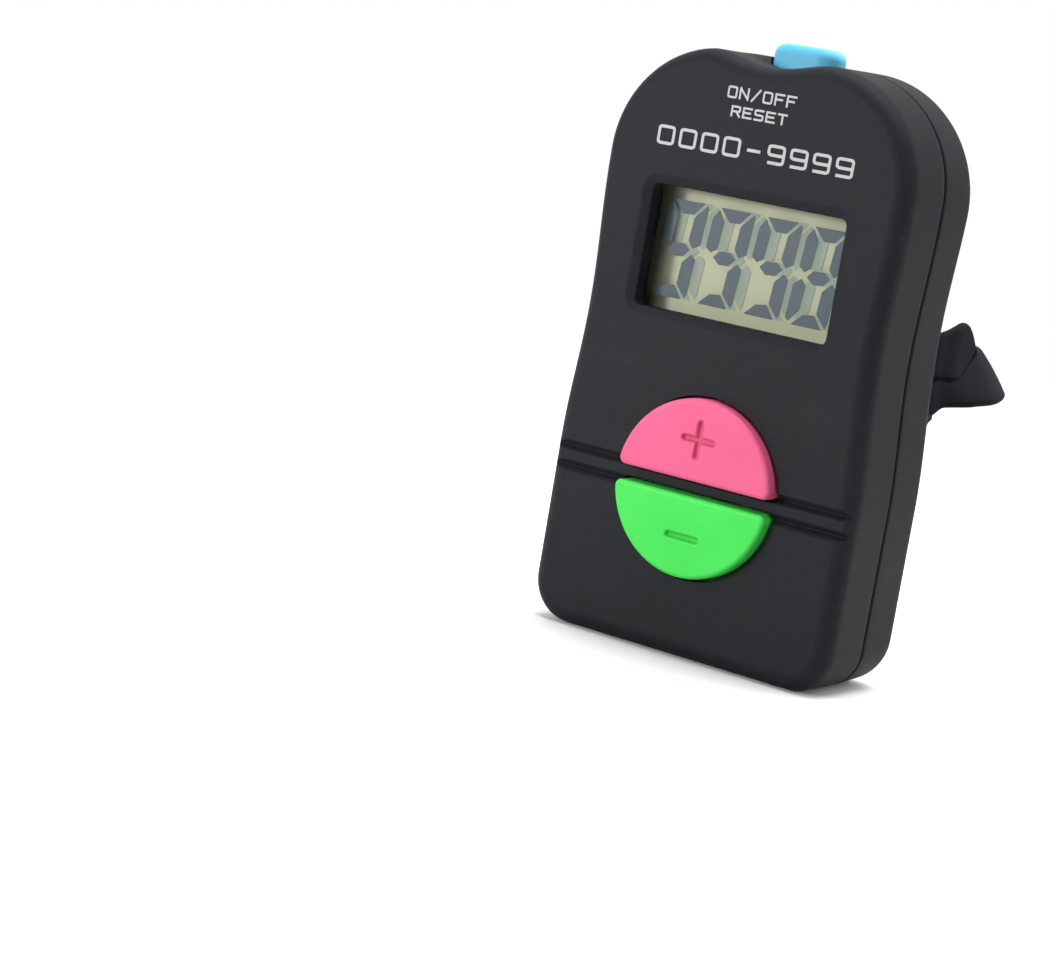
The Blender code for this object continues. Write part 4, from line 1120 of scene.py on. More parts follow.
@dataclass
class FrontShell(Shell):
    """The front half of the case with its window, its button holes and the channels between them."""

    window_width: float = 24.1 * MM
    window_height: float = 13.3 * MM
    window_z: float = 43.1 * MM
    window_r: float = 0.8 * MM
    rim_width: float = 1.0 * MM
    rim_depth: float = 0.45 * MM
    rim_soft: float = 0.14 * MM
    channel_half: float = 1.72 * MM
    channel_depth: float = 0.95 * MM
    channel_soft: tuple[float, ...] = (0.3 * MM, 0.18 * MM, 0.16 * MM)
    bar_sunk: float = 0.25 * MM
    dip_x: float = -0.7 * MM
    dip_half: float = 7.5 * MM
    dip_depth: float = 1.15 * MM
    dip_fade: float = 2.2 * MM
    lip_wall: float = 0.7 * MM
    lip_length: float = 1.1 * MM
    lip_spare: float = 0.01 * MM
    post_x: float = 12.9 * MM
    post_z: float = 28.4 * MM
    post_r: float = 1.8 * MM
    post_end: float = -1.5 * MM
    pilot_r: float = 1.05 * MM
    pilot_depth: float = 3.7 * MM

    def ring(self, inset: float, y: float) -> list[Vector]:
        """Draw the case's outline at one y, scooped down before the top button.

        Args:
            inset: How far it is moved in.
            y: Where it is.

        Returns:
            The ring.
        """
        plan = self.plan
        start, end = plan.parting - self.dip_fade, plan.parting - plan.parting_gap
        share = 1 - plan.ease(0, 1, min(max((y - start) / (end - start), 0), 1))
        points = []
        for x, z in plan.outline(inset):
            across = max(1 - ((x - self.dip_x) / self.dip_half) ** 2, 0.0) if z > plan.height / 2 else 0.0
            points.append((x, z - self.dip_depth * share * across**2))
        return Axis.Y.at(points, y)

    def window(self) -> Solid:
        """Make the tool that cuts the window and its sloping rim.

        Returns:
            The tool.
        """
        soft = self.rim_soft
        # How far outside the window and how far below the face each outline is
        steps = (
            (self.rim_width + soft, -PAST),
            (self.rim_width + soft, 0.0),
            (self.rim_width + soft * 0.3, soft * 0.12),
            (self.rim_width - soft, soft * 0.45),
            (soft * 1.4, self.rim_depth - soft * 0.35),
            (soft * 0.5, self.rim_depth),
            (soft * 0.1, self.rim_depth + soft * 0.5),
            (0.0, self.rim_depth + soft * 1.4),
            (0.0, self.plan.face_wall + PAST),
        )
        rings = []
        for margin, sunk in steps:
            size = self.window_width + 2 * margin, self.window_height + 2 * margin
            outline = soft_box(0, self.window_z, *size, self.window_r + margin, steps=10)
            rings.append(Axis.Y.at(outline, self.plan.face + sunk))
        return Solid("window_tool", rings)

    def channels(self) -> Solid:
        """Make the tool that cuts the two channels and leaves the bar between them.

        Returns:
            The tool.
        """
        plan = self.plan
        hole, far = plan.button_flat - plan.gap, self.channel_half + PAST
        upper = [
            (plan.face, self.channel_half),
            (plan.face + self.channel_depth, (self.channel_half + hole) / 2),
            (plan.face + self.bar_sunk, hole),
        ]
        lower = [(y, -z) for y, z in reversed(upper)]
        corners = upper + lower + [(plan.face - PAST, -far), (plan.face - PAST, far)]
        radii = [*self.channel_soft, *reversed(self.channel_soft), 0, 0]
        line = [(y, plan.button_z + z) for y, z in softened(corners, radii)]
        return Solid.slab("channel_tool", line, Axis.X, -plan.foot_width, plan.foot_width)

    def build(self) -> Solid:
        """Cut the skin hollow and add its openings.

        Returns:
            The shell.
        """
        plan = self.plan
        rear, inner = plan.front_end, plan.face + plan.face_wall
        shell = self.skin("case_front", rear, plan.face)
        shell.cut(Solid.slab("cavity", plan.outline(plan.side_wall), Axis.Y, inner, rear + PAST))
        lip_end = rear + plan.parting_gap + self.lip_length
        lip = Solid.slab("lip", plan.outline(plan.side_wall - self.lip_wall), Axis.Y, rear - PAST, lip_end)
        bore = plan.outline(plan.side_wall + self.lip_spare)
        lip.cut(Solid.slab("lip_bore", bore, Axis.Y, rear - 2 * PAST, plan.back))
        shell.fuse(lip, *plan.bosses(inner - INTO, rear, plan.boss_r))
        for x in (-self.post_x, self.post_x):
            shell.fuse(Solid.rod("post", (x, self.post_z), self.post_r, inner - INTO, self.post_end))
        shell.cut(*plan.bosses(rear - self.pilot_depth, rear + PAST, self.pilot_r))
        shell.cut(self.channels())
        flat, corner = plan.button_flat - plan.gap, plan.button_corner + plan.gap
        for sign in Sign:
            hole = plan.half_disc(sign, plan.gap, flat, corner)
            shell.cut(Solid.slab("hole", hole, Axis.Y, plan.face - PAST, inner + PAST))
        return shell.cut(self.window(), plan.power_hole())

    def dress(self) -> None:
        """Turn the shell into its piece."""
        self.build().piece(CASE, "case", "front_shell")


@dataclass
class RearShell(Shell):
    """The rear half of the case with its screw wells, its cell socket and the strap's lugs."""

    wall_steps: int = 5
    tuck: float = 0.12 * MM
    tuck_more: float = 0.24 * MM
    tuck_z: float = 44.0 * MM
    tuck_half: float = 11.0 * MM
    rebate: float = 0.8 * MM
    rebate_depth: float = 1.4 * MM
    socket_z: float = 14.0 * MM
    socket_wall: float = 1.2 * MM
    socket_depth: float = 2.3 * MM
    door_r: float = 8.3 * MM
    door_sunk: float = 1.25 * MM
    door_ledge: float = 0.9 * MM
    screw_r: float = 1.2 * MM
    screw_head_r: float = 2.0 * MM
    screw_head_depth: float = 1.9 * MM
    pin_y: float = 10.15 * MM
    pin_r: float = 0.7 * MM
    pin_span: Point = (28.97 * MM, 40.28 * MM)
    lug_spans: tuple[Point, ...] = ((29.9 * MM, 29.4 * MM), (39.4 * MM, 40.5 * MM))
    lug_inner: float = 14.0 * MM
    lug_outer: tuple[float, float] = (16.95 * MM, 15.9 * MM)
    lug_top: float = 11.05 * MM
    lug_foot: float = 3.0 * MM
    lug_root: float = 0.8 * MM
    lug_corner: float = 1.0 * MM
    lug_flare: float = 0.5

    def ring(self, inset: float, y: float) -> list[Vector]:
        """Draw the outline at one y, rounder and a little narrower toward the back.

        Args:
            inset: How far it is moved in.
            y: Where it is.

        Returns:
            The ring.
        """
        share = (y - self.plan.rear_start) / (self.plan.back - self.plan.rear_start)
        points = []
        for x, z in self.plan.outline(inset, self.plan.back_extra * share):
            near = max(1 - ((z - self.tuck_z) / self.tuck_half) ** 2, 0.0) ** 2
            narrow = (self.tuck + self.tuck_more * near) * share
            points.append((x - math.copysign(min(narrow, abs(x)), x), z))
        return Axis.Y.at(points, y)

    def socket(self, radius: float, low: float, high: float) -> Solid:
        """Return a round tool about the cell's axis."""
        return Solid.rod("socket_tool", (0.0, self.socket_z), radius, low, high, steps=96)

    def lug(self, side: int, span: Point, reach: float) -> Solid:
        """Build one lug with a foot that curves down into the back.

        Args:
            side: 1 for the right and -1 for the left.
            span: The z of its flat beside the strap, and where its foot starts.
            reach: The x of its outer side.

        Returns:
            The lug.
        """
        inner, outer = span
        foot = self.lug_foot if outer > inner else -self.lug_foot
        root, rise = self.plan.back - self.lug_root, self.lug_top - self.plan.back
        steps = [(outer + foot * out, rise * left) for out, left in self.plan.edge(1.0, steps=12)]
        rings = []
        for z, height in [(inner, rise)] + steps:
            top = self.plan.back + height
            spread = reach - self.lug_inner + self.lug_flare * (rise - height)
            radius = min(self.lug_corner, (top - root) * ROUND_END)
            middle = side * (reach + self.lug_inner) / 2
            rings.append(Axis.Z.at(soft_box(middle, (root + top) / 2, spread, top - root, radius), z))
        return Solid("lug", rings)

    def build(self) -> Solid:
        """Build the shell, cut its cavities and add the lugs.

        Returns:
            The shell.
        """
        plan = self.plan
        front, inner = plan.rear_start, plan.back - plan.back_wall
        plate, outside = plan.back - self.door_sunk, plan.back + PAST
        shell = self.skin("case_back", front, plan.back)
        shell.cut(Solid.slab("cavity", plan.outline(plan.side_wall), Axis.Y, front - PAST, inner))
        rebate = plan.outline(self.rebate)
        shell.cut(Solid.slab("rebate", rebate, Axis.Y, front - PAST, front + self.rebate_depth))
        shell.fuse(*plan.bosses(front + plan.gap, inner + INTO, plan.boss_r))
        shell.fuse(self.socket(self.door_r + self.socket_wall, plate - self.socket_depth, inner + INTO))
        shell.cut(self.socket(self.door_r + plan.gap, plate - plan.gap, outside))
        shell.cut(self.socket(self.door_r - self.door_ledge, front, plan.back))
        shell.cut(*plan.bosses(front - PAST, outside, self.screw_r))
        shell.cut(*plan.bosses(plan.back - self.screw_head_depth, outside, self.screw_head_r))
        lugs = zip(self.lug_spans, self.lug_outer)
        shell.fuse(*(self.lug(side, span, reach) for span, reach in lugs for side in (-1, 1)))
        for x in (-plan.pin_x, plan.pin_x):
            pin = circle(x, self.pin_y, self.pin_r, steps=40)
            shell.cut(Solid.slab("pin_hole", pin, Axis.Z, *self.pin_span))
        return shell.cut(plan.power_hole())

    def dress(self) -> None:
        """Turn the shell into its piece."""
        self.build().piece(CASE, "case", "rear_shell")


# ---------------------------------------------------------------- the buttons


@dataclass
class FaceButton:
    """One half-disc button with its engraved sign."""

    plan: CasePlan
    sign: Sign
    finish: Finish
    proud: float = 1.3 * MM
    edge_r: float = 0.5 * MM
    least_corner: float = 0.2 * MM
    flange: float = 0.9 * MM
    flange_thick: float = 0.8 * MM
    arm: float = 2.2 * MM
    stroke: float = 0.85 * MM
    sign_offset: float = 5.3 * MM
    top_thick: float = 1.5 * MM
    skirt: float = 0.9 * MM
    post_r: float = 1.6 * MM
    post_foot: float = 2.5 * MM
    # How much wider the engraving is and how deep it lies, in millimetres
    sign_steps: tuple[Point, ...] = (
        (0.11, -0.5),
        (0.11, 0.0),
        (0.03, 0.03),
        (-0.08, 0.18),
        (-0.18, 0.34),
        (-0.26, 0.45),
        (-0.32, 0.48),
    )

    @property
    def top(self) -> float:
        """Return the y of the button's top."""
        return self.plan.face - self.proud

    @property
    def sign_z(self) -> float:
        """Return the z of the sign's middle."""
        return self.plan.button_z + self.sign.value * self.sign_offset

    def outline(self, inset: float) -> list[Point]:
        """Return the button's outline, moved in."""
        corner = max(self.plan.button_corner - inset, self.least_corner)
        return self.plan.half_disc(self.sign, -inset, self.plan.button_flat + inset, corner)

    def stroke_tool(self, upright: bool) -> Solid:
        """Make the tool for one stroke of the sign, with soft edges.

        Args:
            upright: Whether the stroke stands.

        Returns:
            The tool.
        """
        rings = []
        for grow, sunk in self.sign_steps:
            long, short = 2 * self.arm + 2 * grow * MM, self.stroke + 2 * grow * MM
            size = (short, long) if upright else (long, short)
            rings.append(Axis.Y.at(soft_box(0, self.sign_z, *size, short / 2), self.top + sunk * MM))
        return Solid("stroke", rings)

    def build(self) -> Solid:
        """Build the button from its flange to its soft top edge and engrave it.

        Returns:
            The button.
        """
        plan, top = self.plan, self.top
        front = plan.face + plan.face_wall + plan.gap
        back = front + self.flange_thick
        flange = plan.half_disc(self.sign, self.flange, plan.button_flat, plan.button_corner)
        rings = [Axis.Y.at(flange, back), Axis.Y.at(flange, front), Axis.Y.at(self.outline(0.0), front)]
        edge = plan.edge(self.edge_r, steps=7)
        rings += [Axis.Y.at(self.outline(inset), top + drop) for inset, drop in edge]
        button = Solid("button_" + self.sign.name.lower(), rings)
        hollow = plan.half_disc(self.sign, -self.skirt, plan.button_flat + self.skirt, plan.button_corner)
        button.cut(Solid.slab("hollow", hollow, Axis.Y, top + self.top_thick, back + PAST))
        low, high = top + self.top_thick * 0.6, plan.face + self.post_foot
        button.fuse(Solid.rod("post", (0, self.sign_z), self.post_r, low, high))
        button.cut(self.stroke_tool(False))
        if self.sign is Sign.PLUS:
            button.cut(self.stroke_tool(True))
        return button

    def dress(self) -> None:
        """Turn the button into its piece."""
        name = self.sign.name.lower()
        self.build().piece(self.finish, name, name + "_button")


@dataclass
class TopButton:
    """The crowned button on the top end."""

    plan: CasePlan
    proud: float = 1.75 * MM
    crown: float = 0.4 * MM
    crown_insets: tuple[float, ...] = (1.1 * MM, 1.5 * MM, 1.9 * MM, 2.1 * MM)
    edge_r: float = 0.8 * MM
    flange: float = 1.2 * MM
    flange_thick: float = 0.8 * MM
    post_r: float = 1.1 * MM
    post_y: float = -1.0 * MM
    post_foot: float = 60.95 * MM

    def ring(self, margin: float, z: float, share: float = 0.0) -> list[Vector]:
        """Draw the button's outline at one height.

        Args:
            margin: How much larger it is.
            z: Where it is.
            share: How much of the crown's bulge it has.

        Returns:
            The ring.
        """
        ring = Axis.Z.at(self.plan.power_outline(margin), z)
        ends = [1 - (2 * p.x / self.plan.power_length) ** 2 for p in ring]
        return [p + Vector((0, 0, self.crown * end * share)) for p, end in zip(ring, ends)]

    def build(self) -> Solid:
        """Build the button from its flange to the middle of its crown.

        Returns:
            The button.
        """
        plan, edge_r = self.plan, self.edge_r
        high = plan.height - plan.side_wall - plan.gap
        top = plan.height + self.proud - self.crown
        rings = [self.ring(self.flange, high - self.flange_thick), self.ring(self.flange, high)]
        rings.append(self.ring(0.0, high))
        edge = plan.edge(edge_r, steps=9)
        rings += [self.ring(-inset, top - drop, 1 - drop / edge_r) for inset, drop in edge]
        rings += [self.ring(-inset, top, 1.0) for inset in self.crown_insets]
        post = circle(0, self.post_y, self.post_r, steps=32)
        foot = Solid.slab("post", post, Axis.Z, self.post_foot, high - self.flange_thick / 2)
        return Solid("button_power", rings).fuse(foot)

    def dress(self) -> None:
        """Turn the button into its piece."""
        self.build().piece(BLUE, "power", "power_button")


# ---------------------------------------------------------------- the display and the print


class Bar(Enum):
    """The seven bars of a figure, as corners in millimetres from its lower left, before the slant."""

    TOP = ((-0.35, 10.62), (1.07, 9.2), (2.38, 9.25), (3.5, 10.65))
    UPPER_LEFT = ((-0.45, 10.35), (-1.05, 9.4), (-1.02, 6.2), (-0.3, 5.65), (0.45, 6.15), (0.5, 9.1))
    UPPER_RIGHT = ((3.9, 10.5), (2.6, 9.0), (2.55, 6.45), (3.3, 5.65), (4.15, 6.1), (4.1, 10.1))
    MIDDLE = ((0.15, 5.25), (0.82, 5.98), (2.15, 6.05), (3.0, 5.42), (2.3, 4.6), (1.1, 4.53))
    LOWER_LEFT = ((-0.35, 4.95), (0.32, 4.25), (0.3, 1.6), (-0.7, 0.3), (-1.15, 0.6), (-1.2, 4.3))
    LOWER_RIGHT = ((3.3, 4.98), (4.0, 4.5), (4.02, 0.8), (3.84, 0.2), (2.42, 1.6), (2.4, 4.0))
    BOTTOM = ((-0.31, 0.0), (3.42, 0.0), (2.2, 1.42), (0.9, 1.26))


FIGURES = {"8": tuple(Bar), "9": tuple(bar for bar in Bar if bar is not Bar.LOWER_LEFT)}


@dataclass
class Display:
    """The display's plates, its reflector and its figures."""

    nodes: dict[str, bpy.types.Object]
    shown: str = "9998"
    origin: Point = (-11.33 * MM, 37.69 * MM)
    pitch: float = 5.9 * MM
    slant: float = 0.0945
    corner: float = 0.07
    film_thick: float = 0.03 * MM
    film_y: float = -4.66 * MM
    # Where the sheet with the figures' painted shadow lies, and how far right of the figures
    shadow_sheet_y: float = -3.78 * MM
    shadow_sheet_shift: float = 0.72 * MM

    def figures(self, name: str, y: float, shift: float) -> bpy.types.Object:
        """Make one thin mesh with every bar of the figures.

        Args:
            name: The mesh's name.
            y: Where its back lies.
            shift: How far to the right it lies.

        Returns:
            The mesh's object.
        """
        bm = bmesh.new()
        for index, figure in enumerate(self.shown):
            left, foot = self.origin[0] + index * self.pitch + shift, self.origin[1]
            for bar in FIGURES[figure]:
                line = softened(bar.value, [self.corner] * len(bar.value), steps=3)
                spots = [(left + (x + z * self.slant) * MM, foot + z * MM) for x, z in line]
                stretch(bm, [Axis.Y.at(spots, y), Axis.Y.at(spots, y - self.film_thick)])
        return meshed(name, bm)

    def dress(self) -> None:
        """Dress the plates and place the figures, which cast no shadow, with a painted shadow of them on the
        reflector.
        """
        finishes = {
            "lcd_front_glass": PANE,
            "lcd_rear_glass": PANE,
            "lcd_reflector": REFLECTOR,
            "lcd_frame": FRAME_PLASTIC,
            "contact_strip": CONTACT_RUBBER,
        }
        for name, finish in finishes.items():
            keep(self.nodes[name], finish)
        # The figures cast no shadow; a sheet on the reflector paints their shadow instead
        present(self.figures("display_figures", self.film_y, 0.0), SEGMENT, "case").visible_shadow = False
        present(self.figures("display_echo", self.shadow_sheet_y, self.shadow_sheet_shift), PAINTED_SEGMENT_SHADOW, "case")


@dataclass(frozen=True)
class Line:
    """One printed line: its text, its ends, its capitals' foot and top, and its strokes' width."""

    name: str
    text: str
    left: float
    right: float
    low: float
    high: float
    stroke: float


# Strokes of each letter on a grid that is 4 wide and 6 high
STEM = ((0, 0), (0, 6))
ROOF = ((0, 6), (4, 6))
RING = ((0, 0), (0, 6), (4, 6), (4, 0), (0, 0))
STROKES: dict[str, tuple[tuple[Point, ...], ...]] = {
    "0": (RING,),
    "9": (((0, 6), (4, 6), (4, 2.8), (0, 2.8), (0, 6)), ((4, 3.6), (4, 0), (0.4, 0))),
    "-": (((0.6, 3), (3.4, 3)),),
    "/": (((0.2, -0.3), (3.8, 6.3)),),
    "O": (RING,),
    "N": (STEM, ((0.2, 5.6), (3.8, 0.4)), ((4, 0), (4, 6))),
    "F": (STEM, ROOF, ((0, 3.1), (3.2, 3.1))),
    "R": (STEM, ((0, 6), (4, 6), (4, 2.9), (0, 2.9)), ((2.3, 2.8), (4, 0))),
    "E": (STEM, ROOF, ((0, 3.1), (3.4, 3.1)), ((0, 0), (4, 0))),
    "S": (((0, 0), (4, 0), (4, 3), (0, 3), (0, 6), (4, 6)),),
    "T": (((2, 0), (2, 6)), ROOF),
}


@dataclass
class Print:
    """The white print above the window: plain figures and the switch's lettering."""

    plan: CasePlan
    thick: float = 0.012 * MM
    grid_wide: float = 4
    grid_high: float = 6
    pitch: float = 5.9
    corner: float = 0.9
    # How much thicker each next stroke of a letter is, so that crossing tops don't coincide
    step_up: float = 0.4
    lines: tuple[Line, ...] = (
        Line("print_figures", "0000-9999", -12.4 * MM, 12.0 * MM, 53.9 * MM, 56.0 * MM, 0.33 * MM),
        Line("print_switch", "ON/OFF", -4.6 * MM, 3.9 * MM, 60.0 * MM, 61.3 * MM, 0.22 * MM),
        Line("print_reset", "RESET", -3.8 * MM, 3.15 * MM, 58.1 * MM, 59.3 * MM, 0.22 * MM),
    )

    def ribbon(
        self, bm: bmesh.types.BMesh, line: Sequence[Vector], half: float, rise: float, loop: bool
    ) -> None:
        """Lay one stroke on the face.

        Args:
            bm: The mesh to add it to.
            line: The stroke's points as (x, z).
            half: Half the stroke's width.
            rise: How far it stands off the face.
            loop: Whether its end meets its start.
        """
        rings, last = [], len(line) - 1
        front, back = self.plan.face - rise, self.plan.face + rise
        for i, here in enumerate(line):
            before = line[i - 1] if loop or i else here * 2 - line[1]
            after = line[(i + 1) % len(line)] if loop or i < last else here * 2 - line[i - 1]
            first = (here - before).normalized()
            along = (first + (after - here).normalized()).normalized()
            across = Vector((-along.y, along.x)) * half / max(along.dot(first), 0.5)
            end = along * (0.0 if loop or 0 < i < last else half if i else -half)
            left, right = here + end + across, here + end - across
            sides = ((left, front), (right, front), (right, back), (left, back))
            rings.append([(p.x, y, p.y) for p, y in sides])
        stretch(bm, rings, loop)

    def letters(self, line: Line) -> bpy.types.Object:
        """Make one line as a thin mesh that lies on the face.

        Args:
            line: What to print and where.

        Returns:
            The line's object.
        """
        bm = bmesh.new()
        half, count = line.stroke / 2, len(line.text)
        unit_x = (line.right - line.left - 2 * half) / (self.pitch * (count - 1) + self.grid_wide)
        unit_z = (line.high - line.low - 2 * half) / self.grid_high
        for index, letter in enumerate(line.text):
            left, foot = line.left + half + index * self.pitch * unit_x, line.low + half
            for order, stroke in enumerate(STROKES[letter]):
                loop = stroke[0] == stroke[-1]
                bends = stroke[:-1] if loop else stroke
                radii = [self.corner if loop or 0 < i < len(bends) - 1 else 0.0 for i in range(len(bends))]
                places = [Vector((left + x * unit_x, foot + z * unit_z)) for x, z in softened(bends, radii)]
                self.ribbon(bm, places, half, self.thick * (1 + self.step_up * order), loop)
        return meshed(line.name, bm)

    def dress(self) -> None:
        """Print every line."""
        for line in self.lines:
            present(self.letters(line), PRINT_INK, "case")


# ---------------------------------------------------------------- the strap


@dataclass(frozen=True)
class Spot:
    """One place on the strap's centre line, with the band's tilt and half width there."""

    x: float
    y: float
    z: float
    tilt: float
    half: float

    @classmethod
    def between(cls, near: Sequence["Spot"], t: float) -> "Spot":
        """Find a smooth place between the second and the third of four places.

        Args:
            near: The four places.
            t: How far along it is, from 0 to 1.

        Returns:
            The place.
        """
        values = []
        for name in ("x", "y", "z", "tilt", "half"):
            a, b, c, d = (getattr(spot, name) for spot in near)
            bent, twisted = 2 * a - 5 * b + 4 * c - d, 3 * b - a - 3 * c + d
            values.append((2 * b + (c - a) * t + bent * t**2 + twisted * t**3) / 2)
        return cls(*values)


@dataclass
class Strap:
    """The soft finger strap: a pointed tail, a turn under each pin and the loop between them."""

    plan: CasePlan
    width: float = 6.8 * MM
    thick: float = 1.2 * MM
    bow: float = 0.18 * MM
    mid_z: float = 33.55 * MM
    tilt: float = 38.0
    point: float = 3.9 * MM
    blunt: float = 0.08
    pin_r: float = 0.6 * MM
    bulge_x: float = 16.5 * MM
    bulge_y: float = 14.0 * MM
    reach: float = 23.3 * MM
    tail_x: float = 17.3 * MM
    tail_y: float = 8.45 * MM
    edge_share: float = 0.42
    # Where the points of a flat side lie, as shares of its half
    flats: tuple[float, ...] = (0.66, 0.33, 0.0, -0.33, -0.66)
    per_span: int = 10

    def route(self) -> list[Spot]:
        """Lay the centre line, whose right lobes follow the photograph.

        Each row has x, y, the height above the band's middle in millimetres, and the shares of the
        full tilt and of the full width.

        Returns:
            The places, from the right tail to the left end.
        """
        back, gap, pin_x = self.plan.back, self.plan.gap, self.plan.pin_x
        pin_y = back + gap + self.thick + gap + self.pin_r
        turn = self.pin_r + gap + self.thick / 2
        tail_x, bulge_x = self.tail_x, self.bulge_x
        tail_y, bulge_y, reach = back + self.tail_y, back + self.bulge_y, back + self.reach
        tail = (
            (tail_x, tail_y, 3.45, 0, 1),
            (tail_x - 0.1 * MM, tail_y - 2.2 * MM, 3.55, 0, 1),
            (tail_x - 0.2 * MM, tail_y - 4.1 * MM, 3.15, 0, 0.94),
            (pin_x + turn + 0.1 * MM, pin_y + 0.4 * MM, 2.85, 0, 0.81),
        )
        root = (
            (pin_x + turn * 0.766, pin_y - turn * 0.643, 2.3, 0, 0.84),
            (pin_x + turn * 0.174, pin_y - turn * 0.985, 1.5, 0, 0.90),
            (pin_x - turn * 0.5, pin_y - turn * 0.866, 0.8, 0, 0.95),
            (pin_x - turn * 0.97, pin_y - turn * 0.2, 0.3, 0, 1),
            (pin_x - turn * 0.95, pin_y + 2.6 * MM, -0.55, 0.1, 1.16),
            (pin_x - 1.2 * MM, bulge_y - 7.9 * MM, -0.55, 0.3, 1.15),
            (pin_x - 1.0 * MM, bulge_y - 5.6 * MM, -0.07, 0.55, 1.01),
            (bulge_x - 0.9 * MM, bulge_y - 2.4 * MM, -0.02, 1, 0.98),
            (bulge_x - 0.1 * MM, bulge_y, 0.28, 1, 0.94),
            (bulge_x - 1.2 * MM, bulge_y + 3.6 * MM, 0.55, 1, 0.94),
            (bulge_x * 0.75, reach - 2.6 * MM, 0.57, 1, 1),
            (bulge_x * 0.45, reach - 0.6 * MM, 0.6, 1, 1),
        )
        crown = (0.0, reach, 0.6, 1, 1)
        far = tuple((-x, *rest) for x, *rest in reversed(root))
        stub = (
            (-pin_x - turn - 0.1 * MM, pin_y + 0.4 * MM, 1.8, 0, 0.9),
            (-pin_x - turn - 0.1 * MM, pin_y + 2.4 * MM, 2.4, 0, 0.9),
        )
        half = self.width / 2
        return [
            Spot(x, y, self.mid_z + z * MM, self.tilt * lean, half * wide)
            for x, y, z, lean, wide in (*tail, *root, crown, *far, *stub)
        ]

    def path(self) -> list[Spot]:
        """Refine the centre line.

        Returns:
            The places of a smooth curve through the route.
        """
        points = self.route()
        last = len(points) - 1
        fine: list[Spot] = []
        for i in range(last):
            near = [points[min(max(j, 0), last)] for j in range(i - 1, i + 3)]
            fine += [Spot.between(near, k / self.per_span) for k in range(self.per_span)]
        return fine + points[-1:]

    def section(self, centre: Vector, out: Vector, up: Vector, half: float, bow: float) -> list[Vector]:
        """Draw one section of the band.

        Args:
            centre: The section's middle.
            out: The direction out of the loop.
            up: The direction across the band.
            half: Half the band's width here.
            bow: How much its middle bulges out.

        Returns:
            The section's points.
        """
        edge = min(self.thick * self.edge_share / max(half, TINY), 0.5)
        ring: list[Vector] = []
        for side in (1, -1):
            end = side * (1 - edge)
            spots = [(end + x * edge, y) for x, y in arc(0, 0, 1.0, -90 * side, 180 - 90 * side, 8)]
            spots += [(end * share, side) for share in self.flats]
            for across, away in spots:
                lift = away * self.thick / 2 + bow * (1 - across**2)
                ring.append(centre + up * (across * half) + out * lift)
        return ring

    def build(self) -> Solid:
        """Build the band along its path.

        Returns:
            The band.
        """
        path = self.path()
        places = [Vector((spot.x, spot.y, spot.z)) for spot in path]
        high = Vector((0, 0, 1))
        length, rings = 0.0, []
        for i, (spot, place) in enumerate(zip(path, places)):
            if i:
                length += (place - places[i - 1]).length
            ahead = places[min(i + 1, len(places) - 1)] - places[max(i - 1, 0)]
            along = Vector((ahead.x, ahead.y, 0)).normalized()
            out = Vector((along.y, -along.x, 0))
            turn = math.radians(spot.tilt)
            up = high * math.cos(turn) - out * math.sin(turn)
            face = out * math.cos(turn) + high * math.sin(turn)
            share = min(length / self.point + self.blunt, 1.0)
            half = spot.half * math.sin(math.pi / 2 * share)
            rings.append(self.section(place, face, up, half, self.bow * min(spot.tilt / self.tilt, 1.0)))
        return Solid("strap_band", rings)

    def dress(self) -> None:
        """Turn the band into its piece."""
        self.build().piece(STRAP_RUBBER, "case", "finger_strap")


# ---------------------------------------------------------------- kept CAD nodes


@dataclass
class Kept:
    """The CAD nodes whose shape is right, each with its finish."""

    nodes: dict[str, bpy.types.Object]
    finishes: dict[str, Finish] = field(
        default_factory=lambda: {
            "battery_door": CASE,
            "pcb": BOARD,
            "chip_cover": RESIN,
            "crystal": STEEL,
            "capacitor_1": CERAMIC_TAN,
            "capacitor_2": CERAMIC_TAN,
            "resistor_1": CERAMIC_BLACK,
            "resistor_2": CERAMIC_BLACK,
            "battery_cell": NICKEL,
            "battery_spring": NICKEL,
            "battery_clip": NICKEL,
        }
    )

    def dress(self) -> None:
        """Dress every node that no piece stands for."""
        for name, node in self.nodes.items():
            finish = self.finishes.get(name)
            if finish is None and name.endswith(("_base", "_plunger")):
                finish = SWITCH_PLASTIC
            if finish is None and ("screw" in name or "pin" in name or name.endswith("_cover")):
                finish = STEEL
            if finish is not None and not node.hide_render:
                keep(node, finish)


# ---------------------------------------------------------------- the studio


@dataclass(frozen=True)
class Softbox:
    """One area lamp that points at the counter."""

    name: str
    place: tuple[float, float, float]
    size: float
    power: float

    def build(self, target: Vector) -> None:
        """Make the lamp.

        Args:
            target: The place that it points at.
        """
        lamp = bpy.data.lights.new(self.name, "AREA")
        lamp.shape, lamp.size, lamp.energy = "DISK", self.size, self.power
        obj = linked(self.name, lamp)
        obj.location = self.place
        obj.rotation_euler = (target - Vector(self.place)).to_track_quat("-Z", "Y").to_euler()


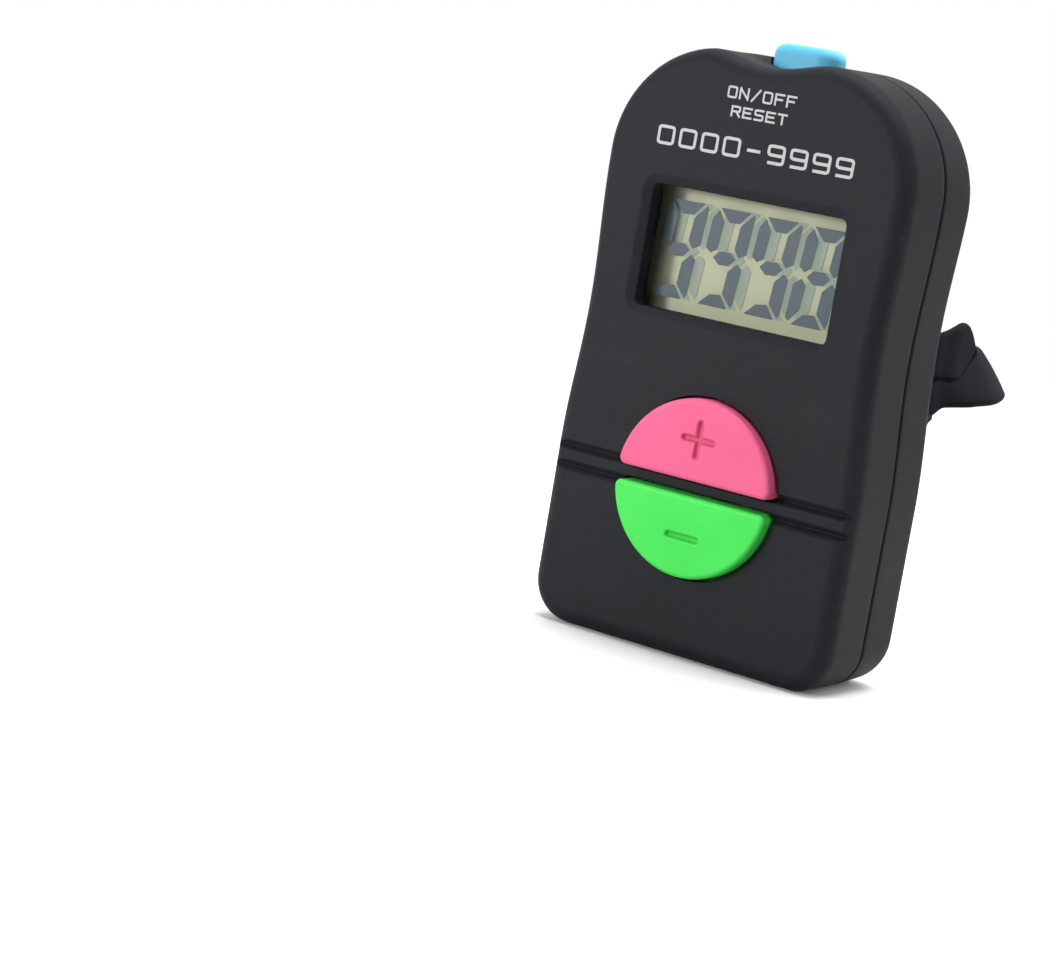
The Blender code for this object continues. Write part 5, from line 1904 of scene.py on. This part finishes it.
@dataclass
class Studio:
    """The camera, the lamps, the world and the pale floor."""

    camera_place: tuple[float, float, float] = (158.793 * MM, -272.912 * MM, 63.818 * MM)
    camera_rows: tuple[tuple[float, float, float], ...] = (
        (0.80099752, -0.22001976, 0.55677130),
        (0.57607142, 0.03016691, -0.81684250),
        (0.16292543, 0.97502885, 0.15091071),
    )
    lens: float = 99.70
    sensor: float = 36.0
    clip: Point = (0.01, 10.0)
    target: Vector = field(default_factory=lambda: Vector((0.0, 0.004, 0.033)))
    # The tint and level of the light from before and behind the counter, and of the shown background
    front_light: tuple[Color, float] = ((0.96, 0.98, 1.0), 0.05)
    back_light: tuple[Color, float] = ((0.99, 0.99, 1.0), 2.1)
    shown: tuple[Color, float] = ((1.0, 1.0, 1.0), 1.0)
    fade: Point = (-0.25, 0.45)
    floor_half: float = 0.5
    softboxes: tuple[Softbox, ...] = (
        Softbox("key_softbox", (-0.142, -0.236, 0.085), 0.070, 0.50),
        Softbox("front_softbox", (-0.10, -0.55, 0.50), 0.30, 0.35),
        Softbox("top_softbox", (0.05, 0.03, 0.85), 0.70, 7.2),
    )

    def camera(self) -> None:
        """Place the camera at the photograph's angle."""
        data = bpy.data.cameras.new("camera")
        data.lens, data.sensor_width = self.lens, self.sensor
        data.clip_start, data.clip_end = self.clip
        obj = linked("camera", data)
        obj.matrix_world = Matrix.Translation(self.camera_place) @ Matrix(self.camera_rows).to_4x4()
        bpy.context.scene.camera = obj

    def world(self) -> None:
        """Make a surround that is bright behind the counter, dim before it and white to the camera."""
        p = Paint(bpy.data.worlds.new("surround"))
        bpy.context.scene.world = p.owner
        behind = p.axes(p.node("ShaderNodeTexCoord", output="Generated"))[1].step(*self.fade)
        front, back, white = (
            p.node("ShaderNodeBackground", sockets={0: rgba(tint), 1: level})
            for tint, level in (self.front_light, self.back_light, self.shown)
        )
        light = p.node("ShaderNodeMixShader", sockets={0: behind, 1: front, 2: back})
        mixed = p.node("ShaderNodeMixShader", sockets={0: p.seen(), 1: light, 2: white})
        p.node("ShaderNodeOutputWorld", sockets={0: mixed})

    def floor(self) -> None:
        """Make the pale floor under the counter."""
        bm = bmesh.new()
        bmesh.ops.create_grid(bm, x_segments=8, y_segments=8, size=self.floor_half)
        obj = meshed("floor", bm, closed=False)
        obj.data.materials.append(FLOOR.material())
        obj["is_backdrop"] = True

    def build(self) -> None:
        """Set up the whole studio."""
        self.camera()
        self.world()
        self.floor()
        for softbox in self.softboxes:
            softbox.build(self.target)
        bpy.context.scene.view_settings.view_transform = "Standard"
        LOG.info("studio with %d softboxes", len(self.softboxes))


def corners() -> list[list[float]]:
    """Return the shown object's box as plain lists."""
    return [list(corner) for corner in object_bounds()]


def main() -> None:
    """Load the frame, and build and dress every sub-assembly."""
    logging.basicConfig(level=logging.INFO, format="%(name)s: %(message)s")
    for obj in list(bpy.data.objects):
        bpy.data.objects.remove(obj, do_unlink=True)
    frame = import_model()
    nodes = frame["nodes"]
    plan = CasePlan()
    FrontShell(plan).dress()
    RearShell(plan).dress()
    FaceButton(plan, Sign.PLUS, PINK).dress()
    FaceButton(plan, Sign.MINUS, GREEN).dress()
    TopButton(plan).dress()
    Display(nodes).dress()
    Print(plan).dress()
    Strap(plan).dress()
    Kept(nodes).dress()
    Studio().build()


if __name__ == "__main__":
    main()
